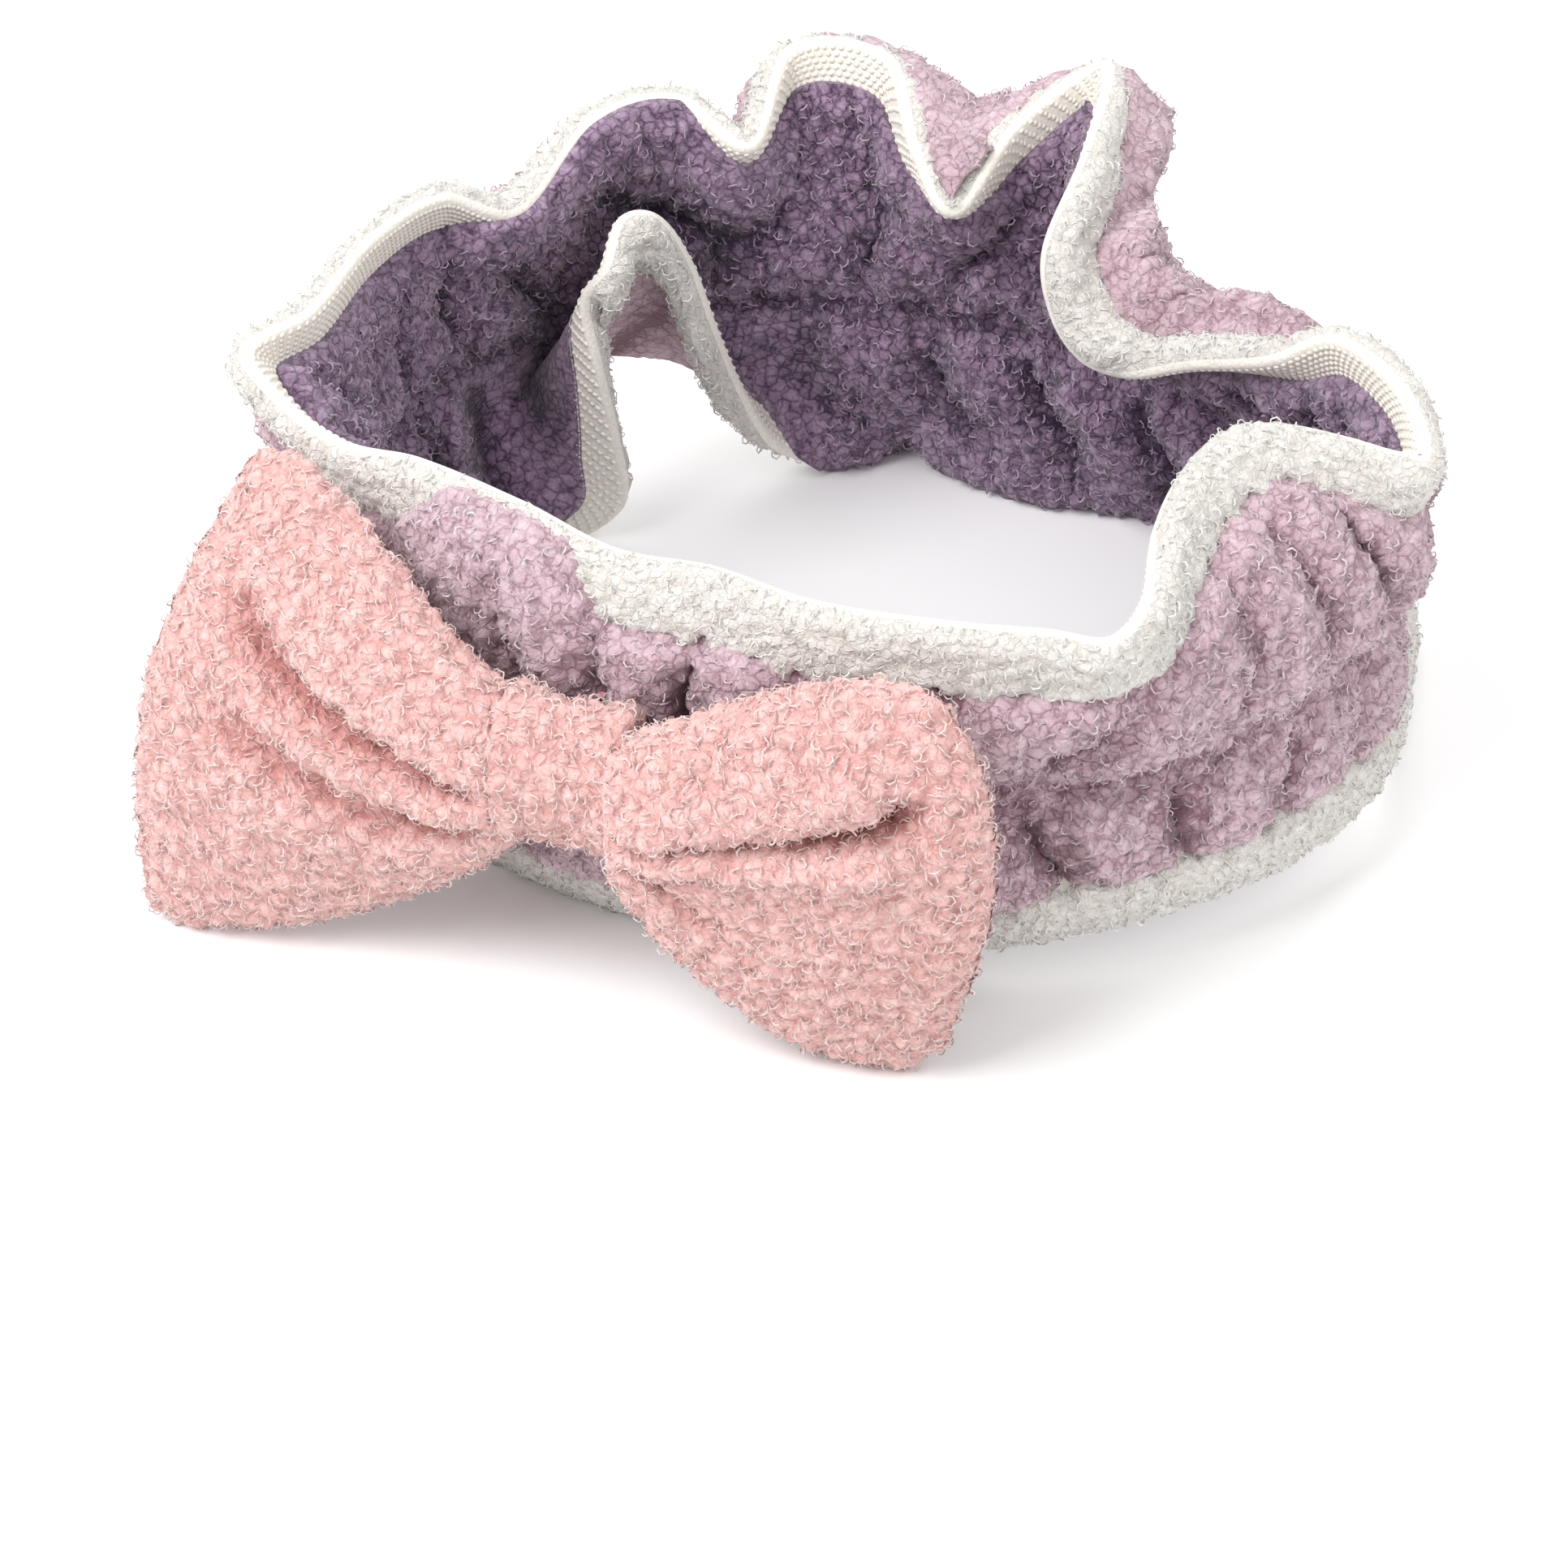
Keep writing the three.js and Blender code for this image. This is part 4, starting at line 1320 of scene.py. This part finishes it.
@dataclass
class Wing:
    """One wing of the bow. Paths are as far from the knot, forward and high, in millimetres."""

    name: str
    side: int
    body: str
    top: tuple[tuple[float, float, float], ...]
    middle: tuple[tuple[float, float, float], ...]
    bottom: tuple[tuple[float, float, float], ...]
    thickness: tuple[float, ...]
    creases: tuple[Crease, ...]
    corner: float = 6.0
    spacing: float = 0.62
    length: float = 62.0
    back_share: float = 0.55
    root_crowding: float = 0.35
    tip_share: float = 0.14
    root_share: float = 0.05

    def lines(self, bow: "Bow", shares: np.ndarray) -> list[np.ndarray]:
        """Places of the bottom, middle and top lines.

        Args:
            bow: the bow that the wing belongs to.
            shares: shares of the wing's length.

        Returns:
            The points of the three lines.
        """
        root = bow.wrap_length / 2 + bow.wing_gap - bow.tuck
        result = []
        for path in (self.bottom, self.middle, self.top):
            table = np.array(path, float)
            x = bow.knot[0] + self.side * (root + table[:, 0] + bow.tuck * table[:, 0]
                                           / table[-1, 0])
            y = bow.knot[1] + bow.curve_back(x) - table[:, 1]
            points = np.stack([x, y, table[:, 2]], -1)
            result.append(smooth_path(points, shares))
        return result

    def build(self, bow: "Bow") -> bpy.types.Object:
        """Make the wing, before its nubs.

        Args:
            bow: the bow that the wing belongs to.

        Returns:
            The piece.
        """
        even = np.linspace(0, 1, int(self.length / self.spacing))
        shares = (np.sin(even * math.pi / 2 * 0.999) * self.root_crowding
                  + even * (1 - self.root_crowding))
        shares = shares / shares[-1]
        bottom, middle, top = self.lines(bow, shares)
        ahead = np.gradient(middle, axis=0)
        front = np.cross(ahead, top - bottom) * self.side
        front /= np.linalg.norm(front, axis=1, keepdims=True)
        closing = np.clip((shares - (1 - self.tip_share)) / self.tip_share, 0, 1)
        tip = np.sqrt(np.maximum(1 - closing ** 2, 0.0))
        opening = np.clip(1 - shares / self.root_share, 0, 1)
        keep = tip * np.sqrt(np.maximum(1 - opening ** 2, 0.0))
        thick = np.interp(shares, np.linspace(0, 1, len(self.thickness)), self.thickness)
        tall = np.linalg.norm(top - bottom, axis=1)
        rise, depth = self.outline()
        inset = (1 - tip) * self.corner / tall
        up = inset[:, None] + rise[None, :] * (1 - 2 * inset[:, None])
        fold, roll = self.folds(shares, up, depth)
        up = up + roll / tall[:, None]
        control = 2 * middle - 0.5 * (top + bottom)
        point = (bottom[:, None] * ((1 - up) ** 2)[..., None]
                 + control[:, None] * (2 * up * (1 - up))[..., None]
                 + top[:, None] * (up ** 2)[..., None])
        off = (depth[None, :] * thick[:, None] / 2 + fold) * keep[:, None]
        rings = point + front[:, None] * off[..., None]
        pile = np.broadcast_to(smoothstep(0.0, 0.06, shares)[:, None], rings.shape[:2])
        # The crease attribute carries painted shade for the wing's folds.
        made = tube(self.name, rings, looped=False, attributes={
            "pile": pile, "crease": np.clip(-fold / 5, 0, 1)})
        self.close(made, *rings.shape[:2])
        return tidy_closed(made)

    @staticmethod
    def close(piece: bpy.types.Object, rings: int, size: int) -> None:
        """Close the two flattened ends of a wing.

        Args:
            piece: the wing.
            rings: how many rings of points it has.
            size: how many points each ring has.
        """
        with reshaped(piece) as work:
            work.verts.ensure_lookup_table()
            for start in (0, (rings - 1) * size):
                for i in range(1, (size - 1) // 2):
                    corners = (i, i + 1, size - i - 1, size - i)
                    work.faces.new([work.verts[start + corner] for corner in corners])

    def outline(self) -> tuple[np.ndarray, np.ndarray]:
        """Outline of the wing's section, evenly spaced, front face first.

        Returns:
            The rise and the depth of each point.
        """
        turn = np.linspace(0, 2 * np.pi, 2001)
        rise = 0.5 - 0.5 * np.cos(turn)
        depth = np.sign(np.sin(turn)) * np.abs(np.sin(turn)) ** 0.55
        depth = np.where(depth < 0, depth * self.back_share, depth)
        steps = np.hypot(np.diff(rise) * 75, np.diff(depth) * 8)
        length = np.concatenate([[0], np.cumsum(steps)])
        count = 2 * int(length[-1] / self.spacing / 2)
        even = np.arange(count) * length[-1] / count
        return np.interp(even, length, rise), np.interp(even, length, depth)

    def folds(self, shares: np.ndarray, up: np.ndarray,
              depth: np.ndarray) -> tuple[np.ndarray, np.ndarray]:
        """Shape the folds.

        Args:
            shares: shares of the wing's length.
            up: how far up the section each point lies.
            depth: the outline's depth.

        Returns:
            Depth of the folds and how far the cloth above rolls down over them.
        """
        front = smoothstep(0.0, 0.5, depth)[None, :]
        total = np.zeros(up.shape)
        rolled = np.zeros(up.shape)
        for crease in self.creases:
            path = np.array(crease.path)
            line = np.interp(shares, path[:, 0], path[:, 1])[:, None]
            fade = (smoothstep(path[0, 0] - 0.08, path[0, 0] + 0.08, shares)
                    * (1 - smoothstep(path[-1, 0] - 0.1, path[-1, 0] + 0.12, shares)))[:, None]
            gap = (up - line) / crease.width
            total -= crease.depth * np.exp(-gap ** 2) * fade
            lips = np.exp(-(np.abs(gap) - 1.6) ** 2 / 0.8)
            total += 0.28 * crease.depth * lips * fade
            rolled -= crease.roll * np.exp(-(gap - 1.1) ** 2) * fade
        return total * front, rolled * front


def smooth_path(points: np.ndarray, shares: np.ndarray) -> np.ndarray:
    """Smooth curve through points.

    Args:
        points: the points.
        shares: shares of the curve's length.

    Returns:
        The curve's points at those shares.
    """
    ends = np.concatenate([[2 * points[0] - points[1]], points, [2 * points[-1] - points[-2]]])
    fine = np.linspace(0, len(points) - 1, 401)
    i = np.minimum(fine.astype(int), len(points) - 2)
    t = (fine - i)[:, None]
    p0, p1, p2, p3 = (ends[i + k] for k in range(4))
    curve = 0.5 * (2 * p1 + (p2 - p0) * t + (2 * p0 - 5 * p1 + 4 * p2 - p3) * t ** 2
                   + (3 * p1 - p0 - 3 * p2 + p3) * t ** 3)
    along = np.concatenate([[0], np.cumsum(np.linalg.norm(np.diff(curve, axis=0), axis=1))])
    return np.stack([np.interp(shares * along[-1], along, curve[:, k]) for k in range(3)], -1)


@dataclass
class Bow:
    """The pinched bow: two wings, the waist between them, the wrap and its threads."""

    surface: BandSurface
    garden: Garden
    finishes: Finishes
    wing_gap: float = 2.0
    tuck: float = 4.5
    fullness: float = 0.75
    wrap_wall: float = 4.0
    pleats: int = 9

    def __post_init__(self) -> None:
        """Read the knot's place and size from the frame."""
        low, high = (np.array(corner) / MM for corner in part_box("bow_knot_wrap"))
        self.knot = (low + high) / 2
        self.wrap_length, self.wrap_deep, self.wrap_tall = high - low

    def curve_back(self, x: np.ndarray) -> np.ndarray:
        """How far the band's front curves back at a place, against the knot's place.

        Args:
            x: the place across the band.

        Returns:
            The distance.
        """
        centre = self.surface.centre[0]
        across = (x - centre) ** 2 - (self.knot[0] - centre) ** 2
        return self.fullness * self.surface.depth / 2 * across / (self.surface.width / 2) ** 2

    def wings(self) -> tuple[Wing, Wing]:
        """The two wings with their folds.

        Returns:
            The left wing and the right.
        """
        left = Wing(
            "bow_left_wing_fleece", -1, "bow_left",
            top=((0, 3, 56), (13, 3, 63), (25, 4, 70), (36, 7, 76), (46, 12, 80)),
            middle=((0, 5, 46), (17, 12, 47), (33, 23, 47), (47, 37, 46), (59, 53, 47)),
            bottom=((0, 3, 32), (13, 8, 18), (27, 19, 8), (43, 38, 3), (60, 60, -1)),
            thickness=(14, 15, 17, 14, 9),
            creases=(
                Crease(((0.1, 0.42), (0.35, 0.5), (0.6, 0.6), (0.8, 0.7)), 4.5, 0.08, 1.5),
                Crease(((0.12, 0.2), (0.4, 0.3), (0.62, 0.42), (0.78, 0.5)), 3.4, 0.08, 1.0),
            ))
        right = Wing(
            "bow_right_wing_fleece", 1, "bow_right",
            top=((0, 2, 56), (12, 1, 64), (27, 0, 72), (44, 4, 76)),
            middle=((0, 3, 46), (19, 2, 46), (38, 6, 47), (57, 15, 49)),
            bottom=((0, 2, 34), (9, 1, 20), (28, 2, 4), (47, 8, -1)),
            thickness=(15, 16, 16, 9),
            creases=(
                Crease(((0.08, 0.5), (0.25, 0.6), (0.5, 0.63), (0.78, 0.66)), 12.0, 0.075, 7.0),
                Crease(((0.1, 0.3), (0.3, 0.22)), 3.0, 0.05),
            ))
        return left, right

    def build(self) -> None:
        """Make every piece of the bow."""
        for wing in self.wings():
            piece = wing.build(self)
            self.garden.fleece(piece, self.finishes.pink, WING_PILE)
            pile = self.garden.curled(piece, f"{wing.name}_pile", self.finishes.pink_yarn,
                                      WING_PILE)
            for part in (piece, pile):
                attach(part, wing.body)
                log.info("%s: %d faces", part.name, len(part.data.polygons))
            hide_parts(wing.name.removesuffix("_fleece"))
        self.wrap()
        self.waist()
        self.threads()

    def ring_points(self, lengthwise: np.ndarray, tall: np.ndarray, deep: np.ndarray,
                    turn: np.ndarray) -> np.ndarray:
        """Ellipses across the bow's length, one for each place along it.

        Args:
            lengthwise: the places.
            tall: each ellipse's height.
            deep: each ellipse's depth.
            turn: angles round the ellipses.

        Returns:
            A (places, angles, 3) array of points.
        """
        return np.stack(np.broadcast_arrays(
            self.knot[0] + lengthwise[:, None],
            self.knot[1] - (deep[:, None] / 2) * np.sin(turn)[None, :],
            self.knot[2] + (tall[:, None] / 2) * np.cos(turn)[None, :]), -1)

    def wrap(self) -> None:
        """The strip of fleece round the waist, its ends flared into the wings."""
        turn = np.linspace(0, 2 * np.pi, 104, endpoint=False)
        half = self.wrap_length / 2
        profile = [(x, 0.0) for x in np.linspace(-half, half, 29)]
        profile += [(x, self.wrap_wall) for x in np.linspace(half, -half, 9)]
        along = np.array([p[0] for p in profile])
        inward = np.array([p[1] for p in profile])
        round_off = 1.0 * (np.clip(np.abs(along) - half + 2, 0, 2) / 2) ** 2
        flare = np.where(inward > 0, -1.0, 2.0 * (np.abs(along) / half) ** 2 - 2.3 - round_off)
        tall = self.wrap_tall - 2 * inward + 2 * flare
        deep = self.wrap_deep - 2 * inward + 2 * flare
        rings = self.ring_points(along, tall, deep, turn)
        pile = np.broadcast_to(np.where(inward > 0, 0.0, 1.0)[:, None], rings.shape[:2])
        made = tidy_closed(tube("bow_knot_wrap_fleece", rings, attributes={"pile": pile}))
        self.garden.fleece(made, self.finishes.pink, WRAP_PILE)
        curls = self.garden.curled(
            made, "bow_knot_wrap_pile", self.finishes.pink_yarn, WRAP_PILE)
        for part in (made, curls):
            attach(part, FRONT)
        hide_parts("bow_knot_wrap")

    def waist(self) -> None:
        """The gathered cloth inside the wrap."""
        low, high = (np.array(corner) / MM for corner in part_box("bow_waist"))
        turn = np.linspace(0, 2 * np.pi, 72, endpoint=False)
        share = np.linspace(-1, 1, 25)
        half = (high - low)[0] / 2
        round_off = np.sqrt(np.maximum(1 - np.clip((np.abs(share) - 0.8) / 0.2, 0, 1) ** 2, 1e-4))
        tall = (high - low)[2] * round_off
        deep = (high - low)[1] * round_off
        rings = self.ring_points(share * half, tall, deep, turn)
        pleats = 1 + 0.05 * np.cos(self.pleats * turn)[None, :, None]
        centre = np.array([0.0, self.knot[1], self.knot[2]])
        rings[..., 1:] = centre[1:] + (rings[..., 1:] - centre[1:]) * pleats * 0.97
        made = tube("bow_waist_fleece", rings, looped=False)
        with reshaped(made) as work:
            bmesh.ops.holes_fill(work, edges=[edge for edge in work.edges if edge.is_boundary])
            bmesh.ops.recalc_face_normals(work, faces=work.faces)
        made.data.materials.append(self.finishes.pink)
        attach(made, FRONT)
        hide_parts("bow_waist")

    def threads(self) -> None:
        """Give the cinch and the tacks their thread."""
        for name in ("bow_cinch_thread", "bow_tack_upper", "bow_tack_lower"):
            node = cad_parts[name]
            node.data.materials.clear()
            node.data.materials.append(self.finishes.pink_thread)


# ---------- Studio ----------

@dataclass
class Studio:
    """Pale floor, soft light and the camera."""

    surface: BandSurface
    azimuth: float = 18.0
    elevation: float = 40.0
    distance: float = 820.0
    lens: float = 110.0
    aim: tuple[float, float, float] = (-4.7, -23.4, 0.0)
    floor_reach: float = 6000.0

    def build(self) -> None:
        """Set up the camera, the floor and the lights."""
        self.camera()
        self.floor()
        self.lights()

    def camera(self) -> None:
        """Camera on the headband."""
        turn, rise = math.radians(self.azimuth), math.radians(self.elevation)
        back = Vector((math.sin(turn) * math.cos(rise), -math.cos(turn) * math.cos(rise),
                       math.sin(rise)))
        centre = Vector((*self.surface.centre, 0.0))
        data = bpy.data.cameras.new("camera")
        data.lens = self.lens
        data.sensor_width = 36.0
        made = linked("camera", data)
        made.location = (centre + Vector(self.aim) + back * self.distance) * MM
        made.rotation_mode = "QUATERNION"
        made.rotation_quaternion = (-back).to_track_quat("-Z", "Y")
        bpy.context.scene.camera = made

    def floor(self) -> None:
        """Plain pale floor."""
        reach, drop = self.floor_reach, -0.05
        points = np.array([[-reach, -reach, drop], [reach, -reach, drop],
                           [reach, reach, drop], [-reach, reach, drop]])
        made = mesh_object("floor", points, np.array([[0, 1, 2, 3]]))
        finish = bpy.data.materials.new("pale_floor")
        finish.use_nodes = True
        shader = finish.node_tree.nodes["Principled BSDF"]
        shader.inputs["Base Color"].default_value = (0.97, 0.97, 0.97, 1.0)
        shader.inputs["Roughness"].default_value = 0.9
        made.data.materials.append(finish)

    def lights(self) -> None:
        """A broad key from the upper left, a fill, and an even surround."""
        for name, place, size, power in (
            ("key", (-500, -500, 900), 700, 11.5),
            ("fill", (700, -300, 600), 900, 3.2),
            ("back", (0, 800, 700), 700, 3.8),
        ):
            data = bpy.data.lights.new(name, "AREA")
            data.size = size * MM
            data.energy = power
            made = linked(name, data)
            made.location = Vector(place) * MM
            made.rotation_mode = "QUATERNION"
            made.rotation_quaternion = (-Vector(place)).to_track_quat("-Z", "Y")
        world = bpy.data.worlds.new("surround")
        world.use_nodes = True
        background = world.node_tree.nodes["Background"]
        background.inputs["Color"].default_value = (1, 1, 1, 1)
        background.inputs["Strength"].default_value = 0.7
        bpy.context.scene.world = world
        bpy.context.scene.view_settings.view_transform = "Standard"


def main() -> None:
    """Build the studio, the band and the bow, and note the sizes."""
    logging.basicConfig(level=logging.INFO, format="%(name)s: %(message)s")
    surface = BandSurface.from_frame()
    Studio(surface).build()
    finishes = Finishes()
    garden = Garden()
    Band(surface, garden, finishes).build()
    Bow(surface, garden, finishes).build()


if __name__ == "__main__":
    main()
